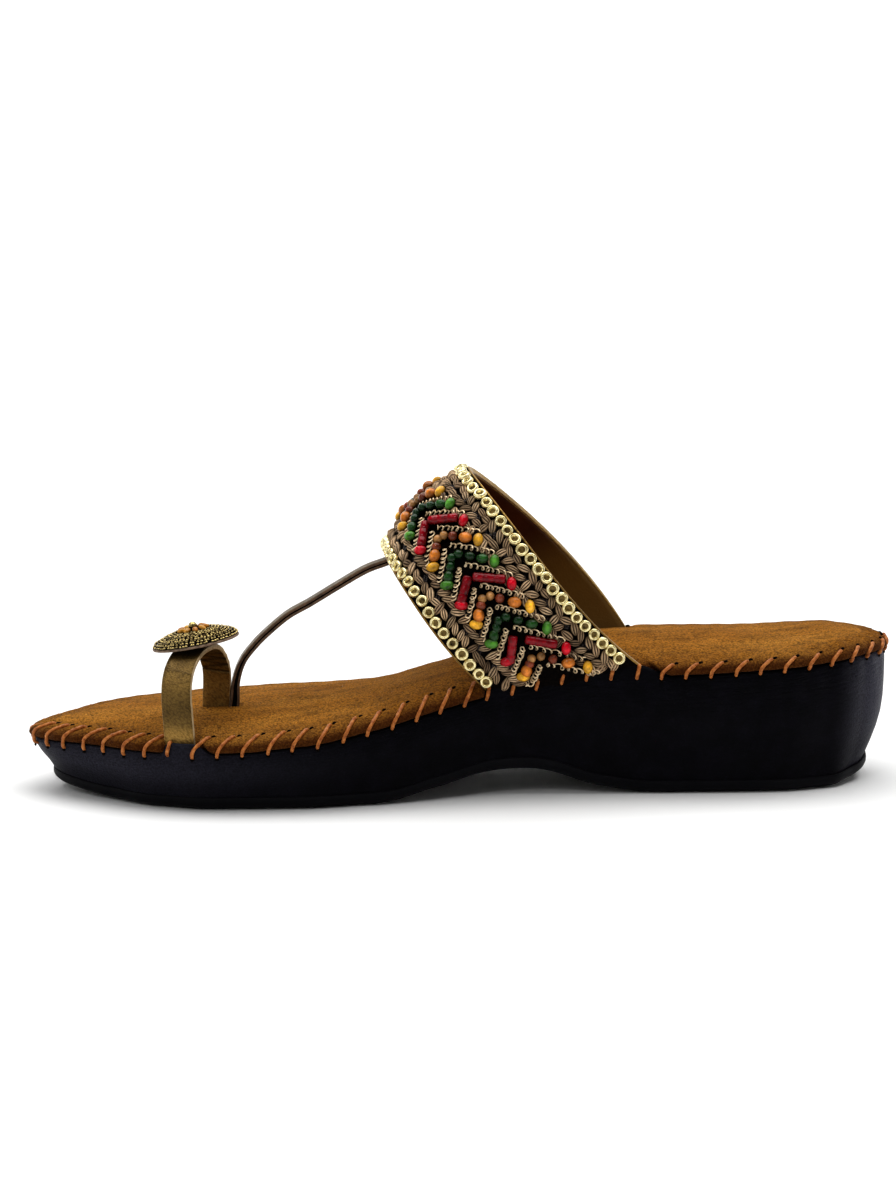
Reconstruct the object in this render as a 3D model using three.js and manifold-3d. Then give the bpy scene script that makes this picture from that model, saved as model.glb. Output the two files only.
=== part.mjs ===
// Slip-on toe-loop sandal for a right foot, with a beaded instep band on a wrapped wedge sole.
// Millimetres, +Z up. The toe points to -X, the inner (medial) side faces -Y, and the floor is Z = 0.
import * as THREE from "three";
import { mergeVertices } from "three/addons/utils/BufferGeometryUtils.js";
import Module from "manifold-3d";

const wasm = await Module();
wasm.setup();

// Driving dimensions
const LENGTH = 257; // wall top, toe tip to heel
const CLEARANCE = 0.3; // gap between pieces that touch
const STATIONS = 36; // sections from toe to heel

// Sole
const OUTSOLE_HEIGHT = 4;
const END_TAPER = 6; // how far the wall leans in at the toe and heel
const SIDE_TAPER = 3.6; // and along the sides
const PAD_THICKNESS = 4.2; // padded footbed
const PAD_OVERHANG = 0.7; // its rolled edge stands this far past the wall
const PAD_CROWN = 1.8; // extra padding at the middle of its width

// Straps
const BAND_THICKNESS = 2.4;
const BAND_INSET = 2.8; // band's middle surface, inside the wall's outline, where it enters the sole
const BAND_CROWN = 3; // bulge across the band's width
const BAND_SQUARENESS = 0.76; // 1 is a half ellipse, less is a squarer arch
const BAND_BULGE = 0.12; // how far it swells out over the sole, as a share of its half width
const BAND_TAIL = 7; // length held inside the sole
const TAIL_LEAN = 0.25; // how much the tails lean in under the footbed
const STRIP_WIDTH = 5;
const STRIP_THICKNESS = 1.8;
const LOOP_WIDTH = 9.2;
const LOOP_FAR_WIDTH = 8;
const LOOP_THICKNESS = 1.5;
const LOOP_TAIL = 6;
const POST_ACROSS = -4; // Y of the slit between the first and second toe

// Beadwork
const BEAD_RADIUS = 2;
const BEAD_HEIGHT = 2.8; // a bead is flatter than it is wide
const BEAD_THREAD_RADIUS = 0.9;
const BEAD_FROM_EDGE = 2.3; // bead centres, in from the band's edge
const BEADS_FRONT = 36;
const BEADS_REAR = 48;
const PANEL_THICKNESS = 1.3;
const PANEL_RIDGE = 1;
const CHEVRONS = 15;

// One row for each section of the sole. along: distance from the toe tip.
// medial, lateral: Y of the wall's top edge. medialTop, lateralTop: height of that edge.
// bottom: height of the underside.
const SOLE_COLUMNS = ["along", "medial", "lateral", "medialTop", "lateralTop", "bottom"];
const SOLE_ROWS = [
  [0, -4, -4, 15.7, 15.7, 3.6],
  [9, -19.1, 12.4, 16.7, 16.2, 2],
  [21, -28, 26, 17.2, 16.5, 0.6],
  [38, -38.6, 36.2, 17.3, 16.5, 0],
  [58, -43.2, 42.3, 17.7, 16.8, 0],
  [74, -43.5, 43.5, 18.9, 17.5, 0],
  [98, -40.5, 41.5, 22.6, 18.9, 0],
  [122, -35.2, 39.2, 28.5, 24.3, 4],
  [146, -30, 36.7, 32.8, 31.6, 7.8],
  [168, -29.4, 34.6, 36, 35.7, 2.2],
  [190, -30.1, 33.1, 36.4, 36.8, 0],
  [214, -30.6, 31.5, 37.5, 37, 0],
  [236, -27, 27.3, 39, 38.4, 0],
  [249, -18.6, 18.2, 40, 39.4, 1.2],
  [257, -0.3, -0.3, 39.6, 39.6, 3.2],
];

// Rings of the outsole's edge, from the floor up.
// inset: beyond the wall's taper. rise: above the underside.
const OUTSOLE_RINGS = [
  { inset: 4.2, rise: 0 },
  { inset: 1.2, rise: 0.9 },
  { inset: 0, rise: 2.2 },
  { inset: 0, rise: 3.2 },
  { inset: 0.7, rise: 4 },
];

// Rings of the midsole's wall.
// taper: share of the wall's lean left. inset: beyond it. share: of the wall's height.
const MIDSOLE_RINGS = [
  { taper: 1, inset: 1.2, share: 0 },
  { taper: 1, inset: 0.8, share: 0.06 },
  { taper: 0.62, inset: 0.3, share: 0.28 },
  { taper: 0.2, inset: 0, share: 0.55 },
  { taper: 0.03, inset: 0, share: 0.8 },
  { taper: 0, inset: 0.3, share: 0.95 },
  { taper: 0, inset: 1.1, share: 1 },
];

// Rings of the footbed's rolled edge. inset: from the wall's outline. share: of the pad's thickness.
const FOOTBED_RINGS = [
  { inset: 1.1, share: 0 },
  { inset: -PAD_OVERHANG, share: 0.2 },
  { inset: -PAD_OVERHANG * 0.7, share: 0.5 },
  { inset: 1.2, share: 0.82 },
  { inset: 4, share: 1 },
];
const FOOTBED_COLUMNS = [0.15, 0.325, 0.5, 0.675, 0.85];
const DECK_COLUMNS = [0.25, 0.5, 0.75];

// The band's two edges. Each is an arch from the medial base, over the crest, to the lateral base.
// base: distance from the toe tip where a side enters the sole.
// flare: how far the edge swings back as it does so.
// bow: how far the edge swells back half way up that side.
const BAND_EDGES = {
  front: {
    medial: { base: 135, flare: 1.8, bow: -1.4 },
    crest: { along: 106.6, height: 68 },
    lateral: { base: 139, flare: 0, bow: 2 },
  },
  rear: {
    medial: { base: 174.5, flare: 9.5, bow: 1.2 },
    crest: { along: 131.9, height: 93.2 },
    lateral: { base: 184, flare: 0, bow: 4.4 },
  },
};

// The centre strip's path from the toe post to the underside of the band. along, across, height.
const STRIP_PATH = [
  [57.6, POST_ACROSS, 14.6],
  [59.8, POST_ACROSS, 19],
  [61.3, POST_ACROSS, 25],
  [61.7, POST_ACROSS, 31.6],
  [63.4, POST_ACROSS + 0.2, 37.6],
  [66.2, POST_ACROSS + 0.4, 42.6],
  [69.6, POST_ACROSS + 0.6, 46.7],
  [74.8, POST_ACROSS + 0.9, 51.4],
  [81, POST_ACROSS + 1.3, 54.9],
  [90, POST_ACROSS + 1.8, 60],
  [99, POST_ACROSS + 2.5, 64.6],
  [107.6, POST_ACROSS + 3, 67.6],
  [110, POST_ACROSS + 3.2, 70.6],
  [112, POST_ACROSS + 3.4, 73.6],
];

// Toe loop
const LOOP_NEAR_ALONG = 43.4; // where it leaves the inner edge
const LOOP_FAR_ALONG = 55; // and where it enters the footbed
const LOOP_TOP = 45.2; // height of its middle surface
const LOOP_SQUARENESS = 0.8; // 1 is a half ellipse, less is a squarer arch

// Toe ornament: profile of a beaded button, from its underside to its top. radius, height.
const ORNAMENT_TILT = THREE.MathUtils.degToRad(8);
const ORNAMENT_OVAL = 0.84;
const ORNAMENT_PROFILE = [
  [0, 0],
  [11.2, 0],
  [12.2, 0.5],
  [12.2, 1.4],
  [11.4, 1.8],
  [11.4, 2.6],
  [10.2, 3],
  [8.4, 3.3],
  [7, 4],
  [3.6, 4.6],
  [2.6, 5.4],
  [1.4, 6.1],
  [0, 6.3],
];

// Rows of a table as one object each
const namedRows = (columns, rows) =>
  rows.map((row) => Object.fromEntries(columns.map((name, i) => [name, row[i]])));

const sole = namedRows(SOLE_COLUMNS, SOLE_ROWS);

// The outline runs as an angle, 0 at the toe tip and PI at the heel, so that both ends come out round.
const turnAt = (along) => Math.acos(1 - (2 * along) / LENGTH);
const alongAt = (turn) => (LENGTH / 2) * (1 - Math.cos(turn));

// Monotone cubic through a column of the sole table. Equal neighbours stay flat between them.
function soleColumn(name) {
  const t = sole.map((row) => turnAt(row.along));
  const v = sole.map((row) => row[name]);
  const step = v.slice(1).map((_, i) => (v[i + 1] - v[i]) / (t[i + 1] - t[i]));
  const slope = v.map((_, i) => {
    if (i === 0) return step[0];
    if (i === v.length - 1) return step[i - 1];
    if (step[i - 1] * step[i] <= 0) return 0;
    return (2 * step[i - 1] * step[i]) / (step[i - 1] + step[i]);
  });
  return (turn) => {
    const found = t.findIndex((knot) => knot >= turn);
    const i = Math.max(1, found < 0 ? t.length - 1 : found);
    const span = t[i] - t[i - 1];
    const k = THREE.MathUtils.clamp((turn - t[i - 1]) / span, 0, 1);
    const a = v[i - 1] + slope[i - 1] * span * k;
    const b = v[i] - slope[i] * span * (1 - k);
    const ease = k * k * (3 - 2 * k);
    return a + (b - a) * ease;
  };
}
const edgeOf = { medial: soleColumn("medial"), lateral: soleColumn("lateral") };
const topOf = { medial: soleColumn("medialTop"), lateral: soleColumn("lateralTop") };
const bottomOf = soleColumn("bottom");

// Point of the wall's outline. A negative angle is on the medial side, a positive one on the lateral side.
function outline(angle) {
  const side = angle < 0 ? "medial" : "lateral";
  const turn = Math.min(Math.abs(angle), 2 * Math.PI - Math.abs(angle));
  const wrapped = Math.abs(angle) > Math.PI ? (side === "medial" ? "lateral" : "medial") : side;
  return new THREE.Vector2(alongAt(turn) - LENGTH / 2, edgeOf[wrapped](turn));
}

// The same point moved in from the edge, square to it
function insetOutline(angle, inset) {
  const STEP = 1e-3;
  const tangent = outline(angle + STEP).sub(outline(angle - STEP)).normalize();
  return outline(angle).add(new THREE.Vector2(tangent.y, -tangent.x).multiplyScalar(inset));
}

const topAt = (angle) => topOf[angle < 0 ? "medial" : "lateral"](Math.abs(angle));
const taperAt = (turn) => SIDE_TAPER + (END_TAPER - SIDE_TAPER) * Math.cos(turn) ** 8;

// Height of the deck under the footbed. across: 0 at the medial edge, 1 at the lateral one.
const deckHeight = (turn, across) => THREE.MathUtils.lerp(topOf.medial(turn), topOf.lateral(turn), across);

function padHeight(turn, across) {
  const crown = PAD_CROWN * Math.sin(turn) * 4 * across * (1 - across);
  return deckHeight(turn, across) + CLEARANCE + PAD_THICKNESS + crown;
}

// Closed surface through rings of points. Rings at the two ends are single points or lines.
function closedLoft(rings) {
  const count = rings[0].length;
  const index = [];
  for (let i = 0; i + 1 < rings.length; i++) {
    for (let j = 0; j < count; j++) {
      const a = i * count + j;
      const b = i * count + ((j + 1) % count);
      index.push(a, a + count, b, b, a + count, b + count);
    }
  }
  return new THREE.BufferGeometry().setFromPoints(rings.flat()).setIndex(index);
}

// Sheet with two faces and a rim.
// pointAt gives a point from its row, its column and the face, 0 inner or 1 outer.
function slab(rows, columns, pointAt) {
  const points = [];
  const index = [];
  const at = (r, c, face) => (r * (columns + 1) + c) * 2 + face;
  for (let r = 0; r <= rows; r++) {
    for (let c = 0; c <= columns; c++) points.push(pointAt(r, c, 0), pointAt(r, c, 1));
  }
  const quad = (a, b, c, d) => index.push(a, b, c, a, c, d);
  for (let r = 0; r < rows; r++) {
    for (let c = 0; c < columns; c++) {
      quad(at(r, c, 1), at(r, c + 1, 1), at(r + 1, c + 1, 1), at(r + 1, c, 1));
      quad(at(r, c, 0), at(r + 1, c, 0), at(r + 1, c + 1, 0), at(r, c + 1, 0));
    }
    quad(at(r, 0, 0), at(r, 0, 1), at(r + 1, 0, 1), at(r + 1, 0, 0));
    quad(at(r, columns, 1), at(r, columns, 0), at(r + 1, columns, 0), at(r + 1, columns, 1));
  }
  for (let c = 0; c < columns; c++) {
    quad(at(0, c, 0), at(0, c + 1, 0), at(0, c + 1, 1), at(0, c, 1));
    quad(at(rows, c, 1), at(rows, c + 1, 1), at(rows, c + 1, 0), at(rows, c, 0));
  }
  return new THREE.BufferGeometry().setFromPoints(points).setIndex(index);
}

// Closed geometry to solid and back
function solidOf(geometry) {
  const bare = new THREE.BufferGeometry();
  bare.setAttribute("position", geometry.getAttribute("position"));
  bare.setIndex(geometry.getIndex());
  const merged = mergeVertices(bare, 1e-4);
  const corners = merged.getIndex().array;
  const kept = [];
  for (let i = 0; i < corners.length; i += 3) {
    const [a, b, c] = corners.slice(i, i + 3);
    if (a !== b && b !== c && a !== c) kept.push(a, b, c);
  }
  const vertProperties = merged.getAttribute("position").array;
  const mesh = new wasm.Mesh({ numProp: 3, vertProperties, triVerts: Uint32Array.from(kept) });
  return new wasm.Manifold(mesh);
}

function geometryOf(solid) {
  const mesh = solid.getMesh();
  const geometry = new THREE.BufferGeometry();
  geometry.setAttribute("position", new THREE.BufferAttribute(mesh.vertProperties, 3));
  geometry.setIndex(new THREE.BufferAttribute(mesh.triVerts, 1));
  geometry.computeVertexNormals();
  return geometry;
}

// Sections of the sole from toe to heel.
// Each runs up the medial wall, across the top, down the lateral wall and back.
const turns = Array.from({ length: STATIONS + 1 }, (_, i) => (Math.PI * i) / STATIONS);

function soleSections(rings, heightOf, insetOf, columns, columnHeight, underColumns, underHeight) {
  return turns.map((turn) => {
    const wall = (angle) =>
      rings.map((ring) => {
        const p = insetOutline(angle, insetOf(ring, turn));
        return new THREE.Vector3(p.x, p.y, heightOf(ring, angle));
      });
    const medial = wall(-turn);
    const lateral = wall(turn);
    const between = (a, b, shares, height) =>
      shares.map((share) => {
        const p = a.clone().lerp(b, share);
        return p.setZ(height(turn, share, p.z));
      });
    const last = rings.length - 1;
    return [
      ...medial,
      ...between(medial[last], lateral[last], columns, columnHeight),
      ...lateral.toReversed(),
      ...between(lateral[0], medial[0], underColumns, underHeight),
    ];
  });
}

const flat = (turn, share, height) => height;

function makeOutsole() {
  const height = (ring, angle) => bottomOf(Math.abs(angle)) + ring.rise;
  const inset = (ring, turn) => taperAt(turn) + ring.inset;
  return solidOf(closedLoft(soleSections(OUTSOLE_RINGS, height, inset, [], flat, [], flat)));
}

function makeMidsole() {
  const height = (ring, angle) => {
    const foot = bottomOf(Math.abs(angle)) + OUTSOLE_HEIGHT + CLEARANCE;
    return THREE.MathUtils.lerp(foot, topAt(angle), ring.share);
  };
  const inset = (ring, turn) => taperAt(turn) * ring.taper + ring.inset;
  return solidOf(closedLoft(soleSections(MIDSOLE_RINGS, height, inset, DECK_COLUMNS, flat, [], flat)));
}

function makeFootbed() {
  const height = (ring, angle) => topAt(angle) + CLEARANCE + PAD_THICKNESS * ring.share;
  const inset = (ring) => ring.inset;
  const sections = soleSections(
    FOOTBED_RINGS, height, inset, FOOTBED_COLUMNS, padHeight, DECK_COLUMNS, flat);
  return solidOf(closedLoft(sections));
}

// Where a strap enters the sole: a point inside the wall's outline, level with the wall's top
function soleEntry(along, side, inset) {
  const angle = turnAt(along) * (side === "medial" ? -1 : 1);
  const p = insetOutline(angle, inset);
  return new THREE.Vector3(p.x, p.y, topAt(angle));
}

// An arch as shares. across: 0 to 1 from base to base. rise: 0 at a base, 1 at the crest.
function archShape(arch, squareness, bulge) {
  const c = Math.cos(Math.PI * arch);
  const rise = Math.max(Math.sin(Math.PI * arch), 0) ** squareness;
  const half = Math.sign(c) * Math.abs(c) ** squareness * (1 + bulge * 4 * rise * (1 - rise));
  return { across: (1 - half) / 2, rise };
}

// One edge of the band. arch: 0 at the medial base, 1 at the lateral base.
function bandEdge(edge, arch) {
  const { across, rise } = archShape(arch, BAND_SQUARENESS, BAND_BULGE);
  const side = arch < 0.5 ? edge.medial : edge.lateral;
  const medial = soleEntry(edge.medial.base, "medial", BAND_INSET);
  const lateral = soleEntry(edge.lateral.base, "lateral", BAND_INSET);
  const base = medial.lerp(lateral, across);
  const crest = new THREE.Vector3(edge.crest.along - LENGTH / 2, base.y, edge.crest.height);
  const p = base.lerp(crest, rise);
  p.x += side.flare * (1 - rise) ** 4 + side.bow * 4 * rise * (1 - rise);
  return p;
}

// The band's middle surface. share: 0 at the front edge, 1 at the rear edge.
const bandMiddle = (arch, share) =>
  bandEdge(BAND_EDGES.front, arch).lerp(bandEdge(BAND_EDGES.rear, arch), share);

function bandNormal(arch, share) {
  const STEP = 1e-3;
  const held = THREE.MathUtils.clamp(arch, STEP, 1 - STEP);
  const along = bandMiddle(held + STEP, share).sub(bandMiddle(held - STEP, share));
  const across = bandMiddle(held, share + STEP).sub(bandMiddle(held, share - STEP));
  return across.cross(along).normalize();
}

// Point off the band's middle surface. Below the sole's edge the band runs straight on, as its tail.
function bandPoint(arch, share, offset) {
  const held = THREE.MathUtils.clamp(arch, 0, 1);
  const crown = BAND_CROWN * 4 * share * (1 - share) * Math.sin(Math.PI * held);
  return bandMiddle(held, share).addScaledVector(bandNormal(held, share), offset + crown);
}

function tailDirection(end, share) {
  const STEP = 0.02;
  const inward = end === 0 ? STEP : 1 - STEP;
  const down = bandMiddle(end, share).sub(bandMiddle(inward, share)).setY(0).normalize();
  return down.setY(end === 0 ? TAIL_LEAN : -TAIL_LEAN);
}

// The band as a wall. grown: extra on every side, for the pocket that its tails sit in.
function makeBand(grown) {
  const ROWS = 30;
  const COLUMNS = 5;
  const WIDTH = 36;
  const halfWall = BAND_THICKNESS / 2 + grown;
  const widen = grown / WIDTH;
  return solidOf(
    slab(ROWS, COLUMNS, (row, column, face) => {
      const share = THREE.MathUtils.lerp(-widen, 1 + widen, column / COLUMNS);
      const arch = (row - 1) / (ROWS - 2);
      const p = bandPoint(arch, share, face ? halfWall : -halfWall);
      if (row > 0 && row < ROWS) return p;
      return p.addScaledVector(tailDirection(row ? 1 : 0, share), BAND_TAIL + grown);
    }),
  );
}

// Flat strap along a curve, with its width along a fixed direction
function makeStrap(points, widthDirection, firstWidth, lastWidth, thickness) {
  return solidOf(
    slab(points.length - 1, 1, (row, column, face) => {
      const half = THREE.MathUtils.lerp(firstWidth, lastWidth, row / (points.length - 1)) / 2;
      const before = points[Math.max(row - 1, 0)];
      const after = points[Math.min(row + 1, points.length - 1)];
      const normal = widthDirection.clone().cross(after.clone().sub(before)).normalize();
      return points[row].clone()
        .addScaledVector(widthDirection, column ? half : -half)
        .addScaledVector(normal, face ? thickness / 2 : -thickness / 2);
    }),
  );
}

function makeStrip(grown) {
  const STEPS = 30;
  const knots = STRIP_PATH.map(([along, y, z]) => new THREE.Vector3(along - LENGTH / 2, y, z));
  knots[0].z -= grown;
  const path = new THREE.CatmullRomCurve3(knots, false, "centripetal").getPoints(STEPS);
  const across = new THREE.Vector3(0, -1, 0);
  const width = STRIP_WIDTH + 2 * grown;
  return makeStrap(path, across, width, width, STRIP_THICKNESS + 2 * grown);
}

// The toe loop stands in an upright plane from the inner edge to the toe post.
const loopNear = soleEntry(LOOP_NEAR_ALONG, "medial", BAND_INSET);
const loopFar = new THREE.Vector3(LOOP_FAR_ALONG - LENGTH / 2, POST_ACROSS, 0);
loopFar.z = deckHeight(turnAt(LOOP_FAR_ALONG), 0.5) + PAD_THICKNESS;
const loopPlane = loopFar.clone().sub(loopNear).setZ(0).normalize();
const loopWidthDirection = new THREE.Vector3(loopPlane.y, -loopPlane.x, 0);

function loopPoint(arch) {
  const { across, rise } = archShape(arch, LOOP_SQUARENESS, 0);
  const p = loopNear.clone().lerp(loopFar, across);
  return p.setZ(THREE.MathUtils.lerp(p.z, LOOP_TOP, rise));
}

function makeLoop(grown) {
  const STEPS = 24;
  const arch = Array.from({ length: STEPS + 1 }, (_, i) => loopPoint(i / STEPS));
  const below = (p, lean) => p.clone().setZ(p.z - LOOP_TAIL - grown).addScaledVector(loopPlane, lean);
  const path = [below(arch[0], LOOP_TAIL * TAIL_LEAN), ...arch, below(arch[STEPS], 0)];
  const thickness = LOOP_THICKNESS + 2 * grown;
  return makeStrap(path, loopWidthDirection, LOOP_WIDTH + 2 * grown, LOOP_FAR_WIDTH + 2 * grown, thickness);
}

// Block along the footbed's edge, to cut the notch that shows the wall's top beside a strap
function makeNotch(side, fromAlong, toAlong) {
  const STEPS = 10;
  const OUTSIDE = 4;
  const DEPTH = BAND_INSET + BAND_THICKNESS / 2 + CLEARANCE;
  const BELOW = 3;
  const ABOVE = 12;
  const sign = side === "medial" ? -1 : 1;
  return solidOf(
    slab(STEPS, 1, (row, column, face) => {
      const along = THREE.MathUtils.lerp(fromAlong, toAlong, row / STEPS);
      const angle = sign * turnAt(along);
      const p = insetOutline(angle, (column === 0) === (sign < 0) ? DEPTH : -OUTSIDE);
      return new THREE.Vector3(p.x, p.y, topAt(angle) + (face ? ABOVE : -BELOW));
    }),
  );
}

// Embroidered panel: an overlay on the band between the two bead edgings, with chevron ridges
const bandWidth = bandPoint(0.5, 1, 0).distanceTo(bandPoint(0.5, 0, 0));
const beadShare = BEAD_FROM_EDGE / bandWidth;
const panelShare = (BEAD_FROM_EDGE + BEAD_RADIUS + CLEARANCE + 0.2) / bandWidth;
const overlayOffset = BAND_THICKNESS / 2 + CLEARANCE;

function makePanel() {
  const ROWS = 57;
  const COLUMNS = 8;
  const END = 0.016;
  const CHEVRON_SLANT = 0.8; // chevrons that an arm crosses
  const CHEVRON_REACH = 0.7; // share of the half width that the arms fill
  const PETAL_RISE = 0.4; // share of a ridge, outside them
  return solidOf(
    slab(ROWS, COLUMNS, (row, column, face) => {
      const arch = THREE.MathUtils.lerp(END, 1 - END, row / ROWS);
      const share = THREE.MathUtils.lerp(panelShare, 1 - panelShare, column / COLUMNS);
      const fromMiddle = Math.abs(column / COLUMNS - 0.5) * 2;
      const wave = (row / ROWS) * CHEVRONS + fromMiddle * CHEVRON_SLANT;
      const chevron = 0.5 + 0.5 * Math.cos(2 * Math.PI * wave);
      const ridge = PANEL_RIDGE * (fromMiddle < CHEVRON_REACH ? chevron : PETAL_RISE);
      const atRim = row === 0 || row === ROWS || column === 0 || column === COLUMNS;
      return bandPoint(arch, share, overlayOffset + (face ? PANEL_THICKNESS + (atRim ? 0 : ridge) : 0));
    }),
  );
}

// String of beads along one edge of the band: a cord that swells at each bead
function makeBeadString(share, beads) {
  const RINGS_PER_BEAD = 4;
  const SIDES = 6;
  const END = 0.014;
  const rings = beads * RINGS_PER_BEAD;
  const flatness = BEAD_HEIGHT / (2 * BEAD_RADIUS * Math.cos(Math.PI / SIDES));
  const offset = overlayOffset + BEAD_HEIGHT / 2;
  const at = (i) => bandPoint(THREE.MathUtils.lerp(END, 1 - END, i / rings), share, offset);
  const made = [];
  for (let i = 0; i <= rings; i++) {
    const centre = at(i);
    const tangent = at(Math.min(i + 1, rings)).sub(at(Math.max(i - 1, 0))).normalize();
    const arch = THREE.MathUtils.lerp(END, 1 - END, i / rings);
    const up = bandNormal(arch, share);
    const side = tangent.clone().cross(up).normalize();
    const lift = side.clone().cross(tangent);
    const swell = Math.sin((Math.PI * (i % RINGS_PER_BEAD)) / RINGS_PER_BEAD);
    const isEnd = i === 0 || i === rings;
    const radius = isEnd ? 0 : Math.max(BEAD_THREAD_RADIUS, BEAD_RADIUS * swell);
    made.push(
      Array.from({ length: SIDES }, (_, k) => {
        const a = (2 * Math.PI * k) / SIDES;
        return centre.clone()
          .addScaledVector(side, radius * Math.cos(a))
          .addScaledVector(lift, radius * flatness * Math.sin(a));
      }),
    );
  }
  return solidOf(closedLoft(made));
}

// Beaded button, seated on the top of the toe loop
function makeOrnament() {
  const SEGMENTS = 20;
  const profile = ORNAMENT_PROFILE.map(([radius, height]) => new THREE.Vector2(radius, height));
  const geometry = new THREE.LatheGeometry(profile, SEGMENTS);
  geometry.rotateX(Math.PI / 2);
  geometry.scale(1, ORNAMENT_OVAL, 1);
  geometry.rotateY(-ORNAMENT_TILT);
  const seat = loopPoint(0.5);
  const lift = LOOP_THICKNESS / 2 + CLEARANCE + Math.tan(ORNAMENT_TILT) * (LOOP_WIDTH / 2);
  geometry.translate(seat.x, seat.y, seat.z + lift);
  return solidOf(geometry);
}

// Solids, with pockets and notches cut for the straps
const upper = makeBand(0).add(makeStrip(0)).add(makeLoop(0));
const pockets = makeBand(CLEARANCE).add(makeStrip(CLEARANCE)).add(makeLoop(CLEARANCE));
const NOTCH_MARGIN = 4;
const bandNotch = (side) => {
  const from = BAND_EDGES.front[side].base - NOTCH_MARGIN / 4;
  const to = BAND_EDGES.rear[side].base + BAND_EDGES.rear[side].flare + NOTCH_MARGIN;
  return makeNotch(side, from, to);
};
const loopNotch = makeNotch(
  "medial", LOOP_NEAR_ALONG - LOOP_WIDTH / 2 - 1, LOOP_NEAR_ALONG + LOOP_WIDTH / 2 + 2);
const notches = [bandNotch("medial"), bandNotch("lateral"), loopNotch];
const midsole = makeMidsole().subtract(pockets);
const footbed = notches.reduce((pad, notch) => pad.subtract(notch), makeFootbed().subtract(pockets));

// Materials
const finish = (color, roughness, metalness) =>
  new THREE.MeshStandardMaterial({ color, roughness, metalness });
const rubber = finish(0x0c0c0e, 0.55, 0);
const wrap = finish(0x121216, 0.5, 0);
const suede = finish(0x8f5a24, 0.95, 0);
const bronzeLeather = finish(0x8a7445, 0.45, 0.4);
const beadwork = finish(0x3a2f28, 0.6, 0.1);
const gold = finish(0xc9ad62, 0.3, 0.9);

const pieces = [
  ["outsole", makeOutsole(), rubber],
  ["midsole", midsole, wrap],
  ["footbed", footbed, suede],
  ["upper", upper, bronzeLeather],
  ["beaded_panel", makePanel(), beadwork],
  ["bead_edging_front", makeBeadString(beadShare, BEADS_FRONT), gold],
  ["bead_edging_rear", makeBeadString(1 - beadShare, BEADS_REAR), gold],
  ["toe_ornament", makeOrnament(), gold],
];

const sandal = new THREE.Group();
for (const [name, solid, material] of pieces) {
  const mesh = new THREE.Mesh(geometryOf(solid), material);
  mesh.name = name;
  sandal.add(mesh);
}

export default sandal;
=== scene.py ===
"""Looks for a right-foot toe-loop sandal with a beaded instep band.

Sizes are in millimetres until a mesh is made.
"""
import math

import bmesh
import bpy
import numpy as np
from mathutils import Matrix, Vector


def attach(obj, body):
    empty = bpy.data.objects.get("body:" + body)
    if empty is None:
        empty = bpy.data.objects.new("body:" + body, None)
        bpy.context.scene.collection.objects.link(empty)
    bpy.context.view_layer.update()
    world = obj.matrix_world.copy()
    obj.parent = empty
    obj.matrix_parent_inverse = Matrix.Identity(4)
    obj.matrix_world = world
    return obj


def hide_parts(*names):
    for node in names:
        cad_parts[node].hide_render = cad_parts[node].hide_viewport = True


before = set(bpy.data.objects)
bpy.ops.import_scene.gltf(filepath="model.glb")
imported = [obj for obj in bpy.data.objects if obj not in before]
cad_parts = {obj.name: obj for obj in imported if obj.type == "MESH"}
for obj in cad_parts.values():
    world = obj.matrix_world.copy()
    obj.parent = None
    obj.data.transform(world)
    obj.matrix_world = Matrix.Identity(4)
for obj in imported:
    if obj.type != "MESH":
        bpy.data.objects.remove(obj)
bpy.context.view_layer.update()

MM = 0.001
rng = np.random.default_rng(11)

# Main sizes, mostly those of the solids
LENGTH = 257
CLEARANCE = 0.3
OUTSOLE_HEIGHT = 4
END_TAPER = 6
HEEL_TAPER = 4.9
SIDE_TAPER = 3.6
PAD_THICKNESS = 4.2
PAD_CROWN = 1.8
FOREFOOT_CROWN = 1.0
BAND_INSET = 2.8
BAND_CROWN = 3
BAND_SQUARENESS = 0.76
BAND_BULGE = 0.12
STRIP_WIDTH = 5
LOOP_WIDTH = 9.2
LOOP_FAR_WIDTH = 8.4
LOOP_THICKNESS = 1.5
LOOP_NEAR_ALONG = 43.4
LOOP_FAR_ALONG = 55
LOOP_TOP = 45.2
LOOP_SQUARENESS = 0.8
POST_ACROSS = -4
BEAD_FROM_EDGE = 2.3
BEADS_FRONT = 36
BEADS_REAR = 48
ORNAMENT_TILT = math.radians(10.5)
ORNAMENT_OVAL = 0.84
SIDE_SIGN = {"medial": -1, "lateral": 1}
UP = np.array([0.0, 0.0, 1.0])

# Sole sections: distance from the toe tip, the wall's top edge on both sides, its heights, the underside
SOLE_COLUMNS = ("along", "medial", "lateral", "medial_top", "lateral_top", "bottom")
SOLE_ROWS = np.array([
    (0, -4, -4, 15.7, 15.7, 2.7),
    (9, -19.1, 12.4, 16.7, 16.2, 1.4),
    (21, -28, 26, 17.2, 16.5, 0.4),
    (38, -38.6, 36.2, 17.3, 16.5, 0),
    (58, -43.2, 42.3, 17.7, 16.8, 0),
    (74, -43.5, 43.5, 18.9, 17.5, 0),
    (98, -40.5, 41.5, 22.6, 18.9, 0),
    (122, -35.2, 39.2, 28.5, 24.3, 4),
    (146, -30, 36.7, 32.8, 31.6, 7.8),
    (168, -29.4, 34.6, 36, 35.7, 2.2),
    (190, -30.1, 33.1, 36.4, 36.8, 0),
    (214, -30.6, 31.5, 37.5, 37, 0),
    (236, -27, 27.3, 39, 38.4, 0),
    (249, -18.6, 18.2, 40, 39.4, 1.2),
    (257, -0.3, -0.3, 39.6, 39.6, 3.2),
], dtype=float)

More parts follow.
